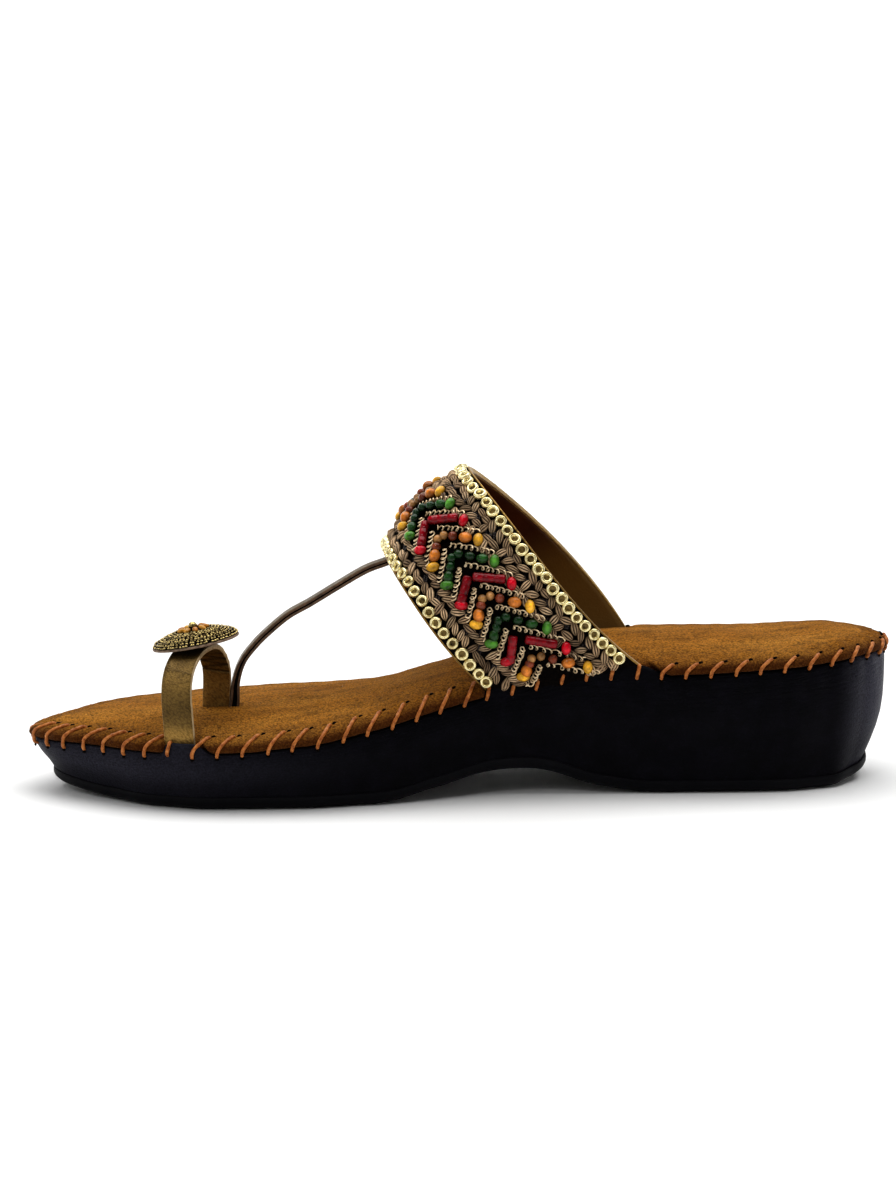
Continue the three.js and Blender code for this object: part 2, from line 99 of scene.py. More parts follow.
# The band's front and rear edges: base, flare and bow of each side, and the crest's place and height
BAND_EDGES = {
    "front": {"medial": (135, 1.8, -1.4), "crest": (106.6, 68), "lateral": (139, 0, 2)},
    "rear": {"medial": (174.5, 9.5, 1.2), "crest": (131.9, 93.2), "lateral": (184, 0, 4.4)},
}

# The centre strip's path: distance from the toe tip, across, height
STRIP_PATH = np.array([
    (59.0, POST_ACROSS, 19),
    (60.4, POST_ACROSS, 25),
    (60.9, POST_ACROSS, 31.6),
    (62.9, POST_ACROSS + 0.2, 37.6),
    (66.7, POST_ACROSS + 0.4, 42.6),
    (70.9, POST_ACROSS + 0.6, 46.7),
    (76.7, POST_ACROSS + 0.9, 51.4),
    (83.1, POST_ACROSS + 1.3, 54.9),
    (91.7, POST_ACROSS + 1.8, 60),
    (100, POST_ACROSS + 2.5, 64.6),
    (107.9, POST_ACROSS + 3, 67.6),
    (110, POST_ACROSS + 3.2, 70.6),
    (112, POST_ACROSS + 3.4, 73.6),
], dtype=float)

# Sewing
STITCH_PITCH = 7.35
STITCH_SLANT = 4.5
TOE_SLANT = -0.2
STITCH_START = 2.6
THREAD_RADIUS = 0.58
THREAD_TWIST = 1.5
THREAD_PLY = 0.16

# Embroidery, measured along the band from its crest and across it from its front edge
CHEVRON_PITCH = 7.55
CHEVRON_FIRST = 2.0
CHEVRON_CENTRE = 17.2
CHEVRON_ARMS = {"front": (8.4, -7.4), "rear": (9.4, 9.0)}
CHEVRON_COLOURS = ("yellow", "green", "red")
ARM_START = 0.8
BASE_MARGIN = 0.6
BAND_MIDDLE = 0.48
PETAL_LEVEL = 1.2
BEAD_LEVEL = 1.25

# Camera, from the photo's view of the shoe
CAMERA_AZIMUTH = math.radians(-3.67)
CAMERA_ELEVATION = math.radians(10.26)
CAMERA_DISTANCE = 1074.7
CAMERA_TARGET = (-3.8, 0, 54.6)
CAMERA_LENS = 143.8


def lerp(a, b, k):
    return a + (b - a) * k


def smooth(low, high, x):
    k = np.clip((x - low) / (high - low), 0, 1)
    return k * k * (3 - 2 * k)


def between(low, full, fade, high, x):
    """Rises from 0 at low to 1 at full, and falls from fade to 0 at high."""
    return smooth(low, full, x) * (1 - smooth(fade, high, x))


def peak(centre, width, x):
    return np.exp(-((x - centre) / width) ** 2)


def turned(x, y, angle):
    """Two axes turned in their own plane."""
    c = np.cos(angle)
    s = np.sin(angle)
    return x * c + y * s, y * c - x * s


def unit(v):
    return v / np.maximum(np.linalg.norm(v, axis=-1, keepdims=True), 1e-9)


def walked(points):
    """Distance along a path at each of its points."""
    return np.concatenate([[0], np.cumsum(np.linalg.norm(np.diff(points, axis=0), axis=1))])


# Sole shape
def turn_at(along):
    return np.arccos(np.clip(1 - 2 * np.asarray(along, float) / LENGTH, -1, 1))


def along_at(turn):
    return LENGTH / 2 * (1 - np.cos(turn))


def sole_column(name):
    knots = turn_at(SOLE_ROWS[:, 0])
    values = SOLE_ROWS[:, SOLE_COLUMNS.index(name)]
    step = np.diff(values) / np.diff(knots)
    slope = np.concatenate([step[:1], np.zeros(len(step) - 1), step[-1:]])
    for i in range(1, len(step)):
        if step[i - 1] * step[i] > 0:
            slope[i] = 2 * step[i - 1] * step[i] / (step[i - 1] + step[i])

    def at(turn):
        turn = np.asarray(turn, float)
        i = np.clip(np.searchsorted(knots, turn), 1, len(knots) - 1)
        span = knots[i] - knots[i - 1]
        k = np.clip((turn - knots[i - 1]) / span, 0, 1)
        a = values[i - 1] + slope[i - 1] * span * k
        b = values[i] - slope[i] * span * (1 - k)
        return lerp(a, b, k * k * (3 - 2 * k))

    return at


medial_edge = sole_column("medial")
lateral_edge = sole_column("lateral")
medial_top = sole_column("medial_top")
lateral_top = sole_column("lateral_top")
bottom_height = sole_column("bottom")


def wrap_angle(angle):
    return (np.asarray(angle, float) + math.pi) % (2 * math.pi) - math.pi


def outline(angle):
    a = wrap_angle(angle)
    turn = np.abs(a)
    y = np.where(a < 0, medial_edge(turn), lateral_edge(turn))
    return np.stack([along_at(turn) - LENGTH / 2, y], -1)


def inset_outline(angle, inset):
    step = 1e-3
    tangent = unit(outline(angle + step) - outline(angle - step))
    inward = np.stack([tangent[..., 1], -tangent[..., 0]], -1)
    return outline(angle) + inward * np.asarray(inset, float)[..., None]


def top_at(angle):
    a = wrap_angle(angle)
    return np.where(a < 0, medial_top(np.abs(a)), lateral_top(np.abs(a)))


def taper_at(turn):
    end = np.where(turn < math.pi / 2, END_TAPER, HEEL_TAPER)
    return SIDE_TAPER + (end - SIDE_TAPER) * np.cos(turn) ** 8


# Distance round the edge from the toe tip, negative on the medial side
edge_angles = np.linspace(-math.pi, math.pi, 4001)
edge_points = outline(np.clip(edge_angles, -math.pi + 1e-9, math.pi - 1e-9))
edge_arcs = walked(edge_points)
edge_arcs -= np.interp(0, edge_angles, edge_arcs)
half_edge = edge_arcs[-1]


def arc_at(angle):
    return np.interp(angle, edge_angles, edge_arcs)


def angle_at(arc):
    return np.interp(arc, edge_arcs, edge_angles)


# Notches beside the straps: side, from, to, and how much further the foot of the rear end reaches
NOTCH_DEPTH = 4.3
LIP_HEIGHT = 3.3
NOTCHES = (("medial", 134, 180.6, 7.2), ("lateral", 138, 183.5, 3.5), ("medial", 39.6, 48.4, 5.2))


def notch_at(angle, lean=1.0):
    """How far an edge point is inside a notch, 0 to 1. A notch's rear end leans back towards the wall."""
    a = wrap_angle(angle)
    along = along_at(np.abs(a))
    found = np.zeros(np.broadcast_shapes(np.shape(along), np.shape(lean)))
    for side, start, end, reach in NOTCHES:
        on_side = (a < 0) if side == "medial" else (a >= 0)
        finish = end + reach * (1 - np.asarray(lean))
        inside = between(start - 1, start + 1, finish - 1.4, finish + 1.4, along)
        found = np.maximum(found, inside * on_side)
    return found


# Band shape
def sole_entry(along, side, inset):
    angle = turn_at(along) * SIDE_SIGN[side]
    p = inset_outline(angle, np.asarray(inset))
    return np.array([p[0], p[1], float(top_at(angle))])


def arch_shape(arch, squareness, bulge):
    c = np.cos(math.pi * arch)
    rise = np.maximum(np.sin(math.pi * arch), 0) ** squareness
    half = np.sign(c) * np.abs(c) ** squareness * (1 + bulge * 4 * rise * (1 - rise))
    return (1 - half) / 2, rise


edge_bases = {
    name: [sole_entry(edge[side][0], side, BAND_INSET) for side in SIDE_SIGN]
    for name, edge in BAND_EDGES.items()
}


def band_edge(name, arch):
    edge = BAND_EDGES[name]
    medial, lateral = edge_bases[name]
    across, rise = arch_shape(arch, BAND_SQUARENESS, BAND_BULGE)
    flare = np.where(arch < 0.5, edge["medial"][1], edge["lateral"][1])
    bow = np.where(arch < 0.5, edge["medial"][2], edge["lateral"][2])
    base = lerp(medial, lateral, across[..., None])
    x = lerp(base[..., 0], edge["crest"][0] - LENGTH / 2, rise)
    x = x + flare * (1 - rise) ** 4 + bow * 4 * rise * (1 - rise)
    z = lerp(base[..., 2], edge["crest"][1], rise)
    return np.stack([x, base[..., 1], z], -1)


def band_middle(arch, share):
    return lerp(band_edge("front", arch), band_edge("rear", arch), share[..., None])


def band_normal(arch, share):
    step = 1e-3
    held = np.clip(arch, step, 1 - step)
    along = band_middle(held + step, share) - band_middle(held - step, share)
    across = band_middle(held, share + step) - band_middle(held, share - step)
    return unit(np.cross(across, along))


def band_point(arch, share, offset):
    arch, share, offset = np.broadcast_arrays(np.asarray(arch, float), share, offset)
    held = np.clip(arch, 0, 1)
    crown = BAND_CROWN * 4 * share * (1 - share) * np.sin(math.pi * held)
    return band_middle(held, share) + band_normal(held, share) * (offset + crown)[..., None]


def band_frame(arch, share, offset):
    step = 2e-3
    arch, share, offset = np.broadcast_arrays(np.asarray(arch, float), share, offset)
    held = np.clip(arch, step, 1 - step)
    point = band_point(arch, share, offset)
    along = unit(band_point(held + step, share, offset) - band_point(held - step, share, offset))
    across = band_point(held, share + step, offset) - band_point(held, share - step, offset)
    normal = unit(np.cross(across, along))
    return point, along, unit(np.cross(along, normal)), normal


def even_arches(share, offset, count, start, end):
    dense = np.linspace(start, end, 1200)
    points = band_point(dense, np.full_like(dense, share), offset)
    lengths = walked(points)
    return np.interp((np.arange(count) + 0.5) / count * lengths[-1], lengths, dense)


band_width = float(np.linalg.norm(band_point(0.5, 1.0, 0) - band_point(0.5, 0.0, 0)))

# Arch share from the distance along the band's middle, from the crest to each base
half_arches = np.linspace(0, 0.5, 800)
crest_to_base = {}
for side, sign in SIDE_SIGN.items():
    walk = band_point(0.5 + sign * half_arches, np.full_like(half_arches, BAND_MIDDLE), PETAL_LEVEL)
    crest_to_base[side] = walked(walk)


def arch_from_crest(distance, side):
    return 0.5 + SIDE_SIGN[side] * np.interp(distance, crest_to_base[side], half_arches)


# Mesh helpers
def ring_faces(rows, columns):
    """Faces between closed rings of points."""
    faces = []
    for r in range(rows - 1):
        for c in range(columns):
            a = r * columns + c
            b = r * columns + (c + 1) % columns
            faces.append((a, b, b + columns, a + columns))
    return faces


def rod_faces(rows, columns):
    """Faces between closed rings of points, with a cap over the first ring and one over the last."""
    faces = ring_faces(rows, columns)
    faces.append(tuple(range(columns))[::-1])
    faces.append(tuple(range((rows - 1) * columns, rows * columns)))
    return faces


def mesh_object(name, points, faces, materials, face_materials=None, attributes=None):
    mesh = bpy.data.meshes.new(name)
    mesh.from_pydata((np.asarray(points) * MM).tolist(), [], [tuple(map(int, f)) for f in faces])
    for material in materials:
        mesh.materials.append(material)
    mesh.polygons.foreach_set("use_smooth", [True] * len(mesh.polygons))
    if face_materials is not None:
        mesh.polygons.foreach_set("material_index", list(map(int, face_materials)))
    for key, values in (attributes or {}).items():
        values = np.asarray(values, float)
        if values.ndim == 1:
            layer = mesh.attributes.new(key, "FLOAT", "POINT")
            layer.data.foreach_set("value", values)
        else:
            layer = mesh.attributes.new(key, "FLOAT_VECTOR", "POINT")
            layer.data.foreach_set("vector", values.ravel())
    mesh.update()
    piece = bpy.data.objects.new(name, mesh)
    bpy.context.scene.collection.objects.link(piece)
    return piece


WELD_DISTANCE = 2e-6


def weld(piece):
    shell = bmesh.new()
    shell.from_mesh(piece.data)
    bmesh.ops.remove_doubles(shell, verts=shell.verts, dist=WELD_DISTANCE)
    bmesh.ops.dissolve_degenerate(shell, edges=shell.edges, dist=WELD_DISTANCE)
    bmesh.ops.recalc_face_normals(shell, faces=shell.faces)
    shell.to_mesh(piece.data)
    shell.free()
    piece.data.polygons.foreach_set("use_smooth", [True] * len(piece.data.polygons))


def put(piece, slot, *nodes):
    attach(piece, "root")
    if nodes:
        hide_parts(*nodes)
    return piece


def lathe(profile, segments):
    turns = np.linspace(0, 2 * math.pi, segments, endpoint=False)
    rings = [np.stack([r * np.cos(turns), r * np.sin(turns), np.full(segments, z)], -1) for r, z in profile]
    return np.concatenate(rings), ring_faces(len(profile), segments)


def ellipsoid(rx, ry, rz, around, rings):
    turns = [math.pi * i / rings for i in range(rings + 1)]
    profile = [(max(math.sin(turn), 0.02), -math.cos(turn)) for turn in turns]
    points, faces = lathe(profile, around)
    return points * np.array([rx, ry, rz]), faces


def torus(major, minor, around, sides):
    u = np.linspace(0, 2 * math.pi, around, endpoint=False)[:, None]
    v = np.linspace(0, 2 * math.pi, sides, endpoint=False)[None, :]
    r = major + minor * np.cos(v)
    points = np.stack([r * np.cos(u), r * np.sin(u), minor * np.sin(v) + 0 * u], -1).reshape(-1, 3)
    faces = []
    for i in range(around):
        for j in range(sides):
            n = (i + 1) % around
            m = (j + 1) % sides
            faces.append((i * sides + j, n * sides + j, n * sides + m, i * sides + m))
    return points, faces


def copies(base, places, x_axes, y_axes, z_axes, scales=None):
    points, faces = base
    n = len(places)
    scales = np.ones((n, 3)) if scales is None else np.broadcast_to(scales, (n, 3))
    local = points[None] * scales[:, None, :]
    made = places[:, None, :] + local[..., 0:1] * x_axes[:, None, :]
    made = made + local[..., 1:2] * y_axes[:, None, :] + local[..., 2:3] * z_axes[:, None, :]
    faces = np.asarray(faces)
    all_faces = (faces[None] + (np.arange(n) * len(points))[:, None, None]).reshape(-1, faces.shape[1])
    return made.reshape(-1, 3), all_faces


def repeat_values(values, base):
    return np.repeat(np.asarray(values, float), len(base[0]), axis=0)


def join_parts(parts):
    points = []
    faces = []
    start = 0
    for p, f in parts:
        points.append(p)
        faces.extend([tuple(np.asarray(face) + start) for face in f])
        start += len(p)
    return np.concatenate(points), faces


def smooth_path(knots, count):
    """A rounded curve through knots, as evenly spaced points."""
    knots = np.asarray(knots, float)
    padded = np.vstack([2 * knots[0] - knots[1], knots, 2 * knots[-1] - knots[-2]])
    dense = []
    for i in range(1, len(padded) - 2):
        a, b, c, d = padded[i - 1:i + 3]
        t = np.linspace(0, 1, 24, endpoint=False)[:, None]
        dense.append(0.5 * (2 * b + (c - a) * t + (2 * a - 5 * b + 4 * c - d) * t ** 2
                            + (3 * b - a - 3 * c + d) * t ** 3))
    dense = np.vstack(dense + [knots[-1:]])
    lengths = walked(dense)
    at = np.linspace(0, lengths[-1], count)
    return np.stack([np.interp(at, lengths, dense[:, k]) for k in range(3)], -1)


def tube(path, radius, sides, twist=0.0, ply=0.0):
    """A closed tube along a path. ply is the depth of a two-strand twist."""
    count = len(path)
    tangent = unit(np.gradient(path, axis=0))
    helper = np.array([0.13, 0.21, 0.97])
    side = unit(np.cross(tangent, helper))
    lift = np.cross(side, tangent)
    a = np.linspace(0, 2 * math.pi, sides, endpoint=False)[None, :]
    phase = (walked(path) * twist)[:, None]
    r = radius * (1 - ply + ply * np.abs(np.cos(a - phase)))
    wide = (r * np.cos(a))[..., None] * side[:, None, :]
    high = (r * np.sin(a))[..., None] * lift[:, None, :]
    ring = path[:, None, :] + wide + high
    points = np.vstack([ring.reshape(-1, 3), path[:1], path[-1:]])
    faces = ring_faces(count, sides)
    tip = count * sides
    last = tip - sides
    for j in range(sides):
        n = (j + 1) % sides
        faces.append((tip, n, j))
        faces.append((tip + 1, last + j, last + n))
    return points, faces


# Materials
class Look:
    """A principled material with a few node shortcuts. Lengths are in mm of the object's own space."""

    def __init__(self, name, colour, roughness, metallic=0.0, specular=0.5):
        self.material = bpy.data.materials.new(name)
        self.material.use_nodes = True
        self.nodes = self.material.node_tree.nodes
        self.links = self.material.node_tree.links
        self.shader = self.nodes["Principled BSDF"]
        self.place = self.nodes.new("ShaderNodeTexCoord").outputs["Object"]
        self.set("Base Color", (*colour, 1))
        self.set("Roughness", roughness)
        self.set("Metallic", metallic)
        self.set("Specular IOR Level", specular)

    def set(self, socket, value):
        self.shader.inputs[socket].default_value = value

    def link(self, value, socket):
        self.links.new(value, self.shader.inputs[socket])

    def node(self, kind, source=None, **values):
        made = self.nodes.new("ShaderNode" + kind)
        for socket, value in values.items():
            made.inputs[socket].default_value = value
        if source is not None:
            self.links.new(source, made.inputs["Vector"])
        return made

    def attribute(self, name, output="Fac"):
        made = self.node("Attribute")
        made.attribute_name = name
        return made.outputs[output]

    def stretched(self, scale, source=None):
        return self.node("Mapping", source or self.place, Scale=scale).outputs["Vector"]

    def slanted(self, angle, stretch):
        made = self.node("Mapping", self.place, Rotation=(0, angle, 0), Scale=(stretch, 1, 1))
        made.vector_type = "TEXTURE"
        return made.outputs["Vector"]

    def noise(self, size, detail=3.0, roughness=0.55, source=None, distortion=0.0):
        made = self.node("TexNoise", source or self.place, Scale=1 / (size * MM), Detail=detail)
        made.inputs["Roughness"].default_value = roughness
        made.inputs["Distortion"].default_value = distortion
        return made.outputs["Fac"]

    def cells(self, size, source=None):
        return self.node("TexVoronoi", source or self.place, Scale=1 / (size * MM)).outputs["Distance"]

    def ramp(self, value, stops):
        node = self.node("ValToRGB")
        ramp = node.color_ramp
        while len(ramp.elements) < len(stops):
            ramp.elements.new(0.5)
        for element, (at, colour) in zip(ramp.elements, stops):
            element.position = at
            element.color = (*colour, 1) if isinstance(colour, tuple) else (colour, colour, colour, 1)
        self.links.new(value, node.inputs["Fac"])
        return node.outputs["Color"]

    def mix(self, fac, a, b, mode="MIX"):
        node = self.node("Mix")
        node.data_type = "RGBA"
        node.blend_type = mode
        self.feed(node.inputs[0], fac)
        self.feed(node.inputs[6], a)
        self.feed(node.inputs[7], b)
        return node.outputs[2]

    def shade(self, share, colour, value, *stops):
        """The colour, darkened and lightened in this share by a ramp over a value."""
        return self.mix(share, colour, self.ramp(value, stops), "MULTIPLY")

    def feed(self, socket, value):
        if isinstance(value, bpy.types.NodeSocket):
            self.links.new(value, socket)
        elif isinstance(value, tuple):
            socket.default_value = (*value, 1)
        else:
            socket.default_value = value

    def math(self, operation, a, b):
        node = self.node("Math")
        node.operation = operation
        self.feed(node.inputs[0], a)
        self.feed(node.inputs[1], b)
        return node.outputs[0]

    def bump(self, height, depth, strength, under=None):
        node = self.node("Bump", Strength=strength, Distance=depth * MM)
        self.links.new(height, node.inputs["Height"])
        if under is not None:
            self.links.new(under, node.inputs["Normal"])
        return node.outputs["Normal"]

    def relief(self, height, depth, strength, under=None):
        self.link(self.bump(height, depth, strength, under), "Normal")


def suede_look():
    look = Look("tan_suede", (0.3, 0.13, 0.022), 0.95, specular=0.08)
    patches = look.noise(26, 4, 0.6, look.stretched((0.5, 1, 1)))
    streaks = look.noise(5, 4, 0.62, look.stretched((0.36, 1, 1)), 0.4)
    nap = look.noise(1.6, 3, 0.7)
    pile = look.cells(0.62)
    fibre = look.noise(0.5, 2, 0.6)
    colour = look.ramp(patches, [
        (0.3, (0.26, 0.104, 0.0115)), (0.52, (0.325, 0.14, 0.019)), (0.72, (0.385, 0.178, 0.03))])
    colour = look.shade(0.75, colour, streaks, (0.33, 0.56), (0.5, 1.0), (0.72, 1.22))
    colour = look.shade(0.6, colour, nap, (0.28, 0.5), (0.5, 1.0), (0.74, 1.45))
    colour = look.shade(0.92, colour, pile, (0.08, 1.4), (0.42, 1.0), (0.8, 0.36))
    colour = look.shade(0.4, colour, fibre, (0.32, 0.5), (0.5, 1.05), (0.68, 1.5))
    uneven = look.math("MULTIPLY", look.math("SUBTRACT", look.noise(1.4, 3), 0.5), 0.35)
    ragged = look.math("ADD", look.attribute("rim"), uneven)
    dark = look.mix(0.88, colour, (0.04, 0.0085, 0.002))
    colour = look.mix(look.ramp(ragged, [(0.05, 0.0), (0.8, 1.0)]), colour, dark)
    look.link(colour, "Base Color")
    height = look.math("ADD", look.math("MULTIPLY", nap, 0.6), look.math("MULTIPLY", fibre, 0.4))
    height = look.math("SUBTRACT", height, look.math("MULTIPLY", pile, 0.9))
    look.relief(height, 0.5, 0.9)
    look.set("Sheen Weight", 0.05)
    look.set("Sheen Roughness", 0.45)
    look.set("Sheen Tint", (0.9, 0.55, 0.25, 1))
    return look.material


def wrap_look():
    look = Look("black_wrap", (0.004, 0.004, 0.006), 0.42, specular=0.06)
    grain = look.cells(0.75)
    pores = look.noise(0.5, 4, 0.6)
    flow = look.attribute("flow", "Vector")
    creases = look.noise(1.0, 4, 0.6, look.stretched((0.16, 1.0, 1.0), flow), 0.6)
    high = look.attribute("high")
    look.link(look.ramp(look.noise(14, 4), [(0.3, 0.4), (0.7, 0.56)]), "Roughness")
    worn = look.ramp(look.noise(6, 5), [(0.4, 0.0), (0.8, 1.0)])
    colour = look.mix(worn, (0.0012, 0.001, 0.0023), (0.0036, 0.003, 0.0062))
    # Painted sheen: paler towards the toe, at the heel end and up the wall, standing in for reflected light
    colour = look.mix(look.attribute("painted_sheen"), colour, (0.038, 0.037, 0.052))
    colour = look.shade(0.8, colour, pores, (0.32, 0.45), (0.5, 1.0), (0.7, 1.6))
    look.link(colour, "Base Color")
    fine = look.bump(look.math("ADD", grain, look.math("MULTIPLY", pores, 0.6)), 0.14, 0.5)
    look.relief(look.math("MULTIPLY", creases, high), 0.8, 0.9, fine)
    return look.material


def rubber_look():
    look = Look("sole_rubber", (0.003, 0.0028, 0.0045), 0.5, specular=0.1)
    look.link(look.ramp(look.noise(9, 4), [(0.3, 0.42), (0.7, 0.6)]), "Roughness")
    look.relief(look.noise(0.35, 3), 0.06, 0.5)
    return look.material


def fibre_look(name, colour, roughness, specular, grain, stops, fine, depth, strength):
    """Colours ramped over a grain, with a finer bump."""
    look = Look(name, colour, roughness, specular=specular)
    look.link(look.ramp(look.noise(grain, 3), stops), "Base Color")
    look.relief(look.noise(fine, 3), depth, strength)
    return look.material


def bronze_look(name, shade=1.0, metallic=0.7, with_painted_light=False):
    light = tuple(shade * v for v in (0.39, 0.24, 0.064))
    dark = tuple(shade * v for v in (0.25, 0.15, 0.039))
    look = Look(name, light, 0.4, metallic)
    grain = look.cells(0.42, look.slanted(math.radians(35), 2.2))
    cloud = look.noise(9, 4, 0.55)
    colour = look.ramp(cloud, [(0.28, dark), (0.7, light)])
    colour = look.shade(0.6, colour, grain, (0.15, 1.35), (0.5, 0.95), (0.8, 0.45))
    # Painted shadow, shade and highlights from the mesh's attribute, multiplied into the colour
    if with_painted_light:
        colour = look.mix(1.0, colour, look.attribute("age", "Color"), "MULTIPLY")
    look.link(colour, "Base Color")
    look.link(look.ramp(look.noise(3, 3), [(0.3, 0.36), (0.7, 0.52)]), "Roughness")
    height = look.math("ADD", grain, look.math("MULTIPLY", look.noise(1.6, 4), 0.7))
    look.relief(height, 0.16, 0.7)
    return look.material


def edge_look(name, light, dark):
    return fibre_look(name, light, 0.6, 0.5, 1.5, ((0.3, dark), (0.7, light)), 0.3, 0.08, 0.6)


def lining_look():
    look = Look("band_lining", (0.05, 0.018, 0.003), 0.45, 0.1, 0.25)
    cloud = look.noise(16, 4, 0.6)
    base = look.ramp(cloud, [(0.3, (0.034, 0.006, 0.0014)), (0.7, (0.07, 0.017, 0.0035))])
    rim = look.attribute("rim")
    look.link(look.mix(rim, base, (0.17, 0.095, 0.018)), "Base Color")
    height = look.math("ADD", look.math("MULTIPLY", look.cells(0.6), 0.5), look.noise(2.5, 4))
    look.relief(height, 0.15, 0.5)
    return look.material


def gold_look(name, light, dark, roughness, metallic, with_painted_light=False):
    look = Look(name, light, roughness, metallic)
    colour = look.ramp(look.noise(1.7, 4), [(0.3, dark), (0.5, light)])
    # Painted shade from the mesh's attribute, multiplied into the colour
    if with_painted_light:
        colour = look.mix(1.0, colour, look.attribute("age", "Color"), "MULTIPLY")
    look.link(colour, "Base Color")
    look.relief(look.noise(0.9, 2), 0.1, 0.5)
    return look.material


def tinted_look(name, roughness, specular, spread, grain):
    """Colour comes from each bead's own tint, with painted shade and painted highlights multiplied in for
    the beads and petals.
    """
    look = Look(name, (0.5, 0.5, 0.5), roughness, specular=specular)
    tint = look.attribute("tint", "Color")
    stops = ((0.25, 1 - spread), (0.5, 1.0), (0.8, 1 + spread))
    look.link(look.shade(1.0, tint, look.noise(grain * 3, 3), *stops), "Base Color")
    look.relief(look.noise(grain, 2), 0.07, 0.35)
    return look.material


suede = suede_look()
wrap = wrap_look()
rubber = rubber_look()
THREAD_STOPS = ((0.3, (0.22, 0.062, 0.013)), (0.55, (0.42, 0.145, 0.034)), (0.8, (0.6, 0.26, 0.08)))
thread = fibre_look("waxed_thread", (0.42, 0.15, 0.045), 0.45, 0.22, 1.1, THREAD_STOPS, 0.22, 0.08, 0.6)
GROUND_STOPS = ((0.35, (0.0014, 0.0008, 0.0006)), (0.7, (0.006, 0.0036, 0.0026)))
ground = fibre_look("dark_ground", (0.003, 0.002, 0.0016), 0.9, 0.06, 0.7, GROUND_STOPS, 0.4, 0.2, 0.9)
bronze = bronze_look("bronze_leather")
loop_bronze = bronze_look("loop_leather", 1.1, with_painted_light=True)
strip_bronze = bronze_look("strip_leather", 0.26, 0.2)
cut_edge = edge_look("cut_edge", (0.5, 0.38, 0.22), (0.25, 0.17, 0.08))
strip_edge = edge_look("strip_edge", (0.17, 0.098, 0.052), (0.06, 0.033, 0.017))
lining = lining_look()
gold = gold_look("antique_gold", (0.92, 0.81, 0.46), (0.4, 0.29, 0.1), 0.26, 0.82)
gold_dark = gold_look("gold_hollow", (0.22, 0.15, 0.05), (0.03, 0.02, 0.006), 0.45, 0.6)
gold_coil = gold_look("gold_coil", (0.95, 0.76, 0.5), (0.45, 0.3, 0.15), 0.3, 0.5)
gold_old = gold_look("gold_old", (0.52, 0.4, 0.165), (0.08, 0.05, 0.016), 0.24, 0.85, with_painted_light=True)
felt = edge_look("felt_rim", (0.26, 0.175, 0.115), (0.1, 0.062, 0.035))
glass_beads = tinted_look("glass_beads", 0.12, 0.3, 0.6, 0.6)
silk = tinted_look("silk_thread", 0.6, 0.12, 0.25, 0.3)


SOLE_TURNS = np.linspace(0, math.pi, 421)


# Sole pieces are lofted through sections from toe to heel
def loft_sections(name, material, profile, attributes=None, top_shares=(0.5,), top_height=None):
    """profile gives the points of one side's wall for that side's angles, a row for every turn."""
    medial = profile(-SOLE_TURNS)
    lateral = profile(SOLE_TURNS)
    across = []
    for share in top_shares:
        p = lerp(medial[:, -1], lateral[:, -1], share)
        if top_height is not None:
            p[:, 2] = top_height(SOLE_TURNS, share, p)
        across.append(p[:, None])
    under = lerp(lateral[:, 0], medial[:, 0], 0.5)[:, None]
    sections = np.concatenate([medial] + across + [lateral[:, ::-1], under], axis=1)
    faces = [f[::-1] for f in ring_faces(*sections.shape[:2])]
    made = {}
    for key, values in (attributes or {}).items():
        made[key] = values.reshape(-1, 3) if values.ndim == 3 else values.ravel()
    piece = mesh_object(name, sections.reshape(-1, 3), faces, [material], None, made)
    weld(piece)
    return piece


def wall_points(angle, insets, heights):
    xy = inset_outline(np.broadcast_to(angle[:, None], insets.shape), insets)
    return np.concatenate([xy, heights[..., None]], -1)


def toe_share(arc):
    return 1 - smooth(25, 80, np.abs(arc))


def slant_at(lean, arc):
    return (STITCH_SLANT + TOE_SLANT * toe_share(arc)) * np.sign(lean) * np.abs(lean) ** 2.1


def stitch_phase(angle, lean):
    arc = arc_at(wrap_angle(angle))
    return 2 * math.pi * (arc + slant_at(lean, arc) - STITCH_START) / STITCH_PITCH


# Outsole edge: inset at the ends, where it stands out as a lip, inset along the flush sides, and height
OUTSOLE_PROFILE = np.array([
    (4.2, 4.2, 0), (2.6, 2.6, 0.25), (1.3, 1.5, 0.8), (0.5, 0.8, 1.5), (0.1, 0.4, 2.3), (0.06, 0.22, 3.0),
    (0.1, 0.15, 3.5), (0.2, 0.13, 3.85), (0.4, 0.15, 4.05), (0.5, 0.25, 4.06), (1.1, 0.9, 4.06)])


def end_share(turn):
    along = along_at(turn)
    return np.maximum(1 - smooth(14, 52, along), smooth(LENGTH - 42, LENGTH - 12, along))


def outsole_profile(angle):
    turn = np.abs(angle)
    lip, flush, rise = OUTSOLE_PROFILE.T
    insets = taper_at(turn)[:, None] + lerp(flush, lip, end_share(turn)[:, None])
    heights = bottom_height(turn)[:, None] + rise
    return wall_points(angle, insets, heights)


put(loft_sections("outsole_tread", rubber, outsole_profile), "sole_rubber", "outsole")

# Midsole wall: share of the lean, inset, share of the height and share of the lip beside the straps
MIDSOLE_PROFILE = np.array([
    (1, 0.9, 0, 0), (1, 0.25, 0, 0), (1, 0.15, 0.003, 0), (1, 0.12, 0.05, 0), (0.86, 0.2, 0.15, 0),
    (0.64, 0.25, 0.28, 0), (0.4, 0.08, 0.42, 0), (0.2, 0, 0.55, 0), (0.09, 0, 0.68, 0),
    (0.03, 0, 0.8, 0.05), (0, 0.04, 0.87, 0.2), (0, 0.1, 0.92, 0.42), (0, 0.2, 0.96, 0.7),
    (0, 0.38, 0.985, 0.9), (0, 0.75, 1.0, 1.0), (0, 1.15, 1.0, 0.97), (0, 1.25, 0.99, 0)])
TOE_WAIST = 0.1
HEEL_WAIST = 0.9
EDGE_PULL = 0.22
CREASE_HEIGHT = 30


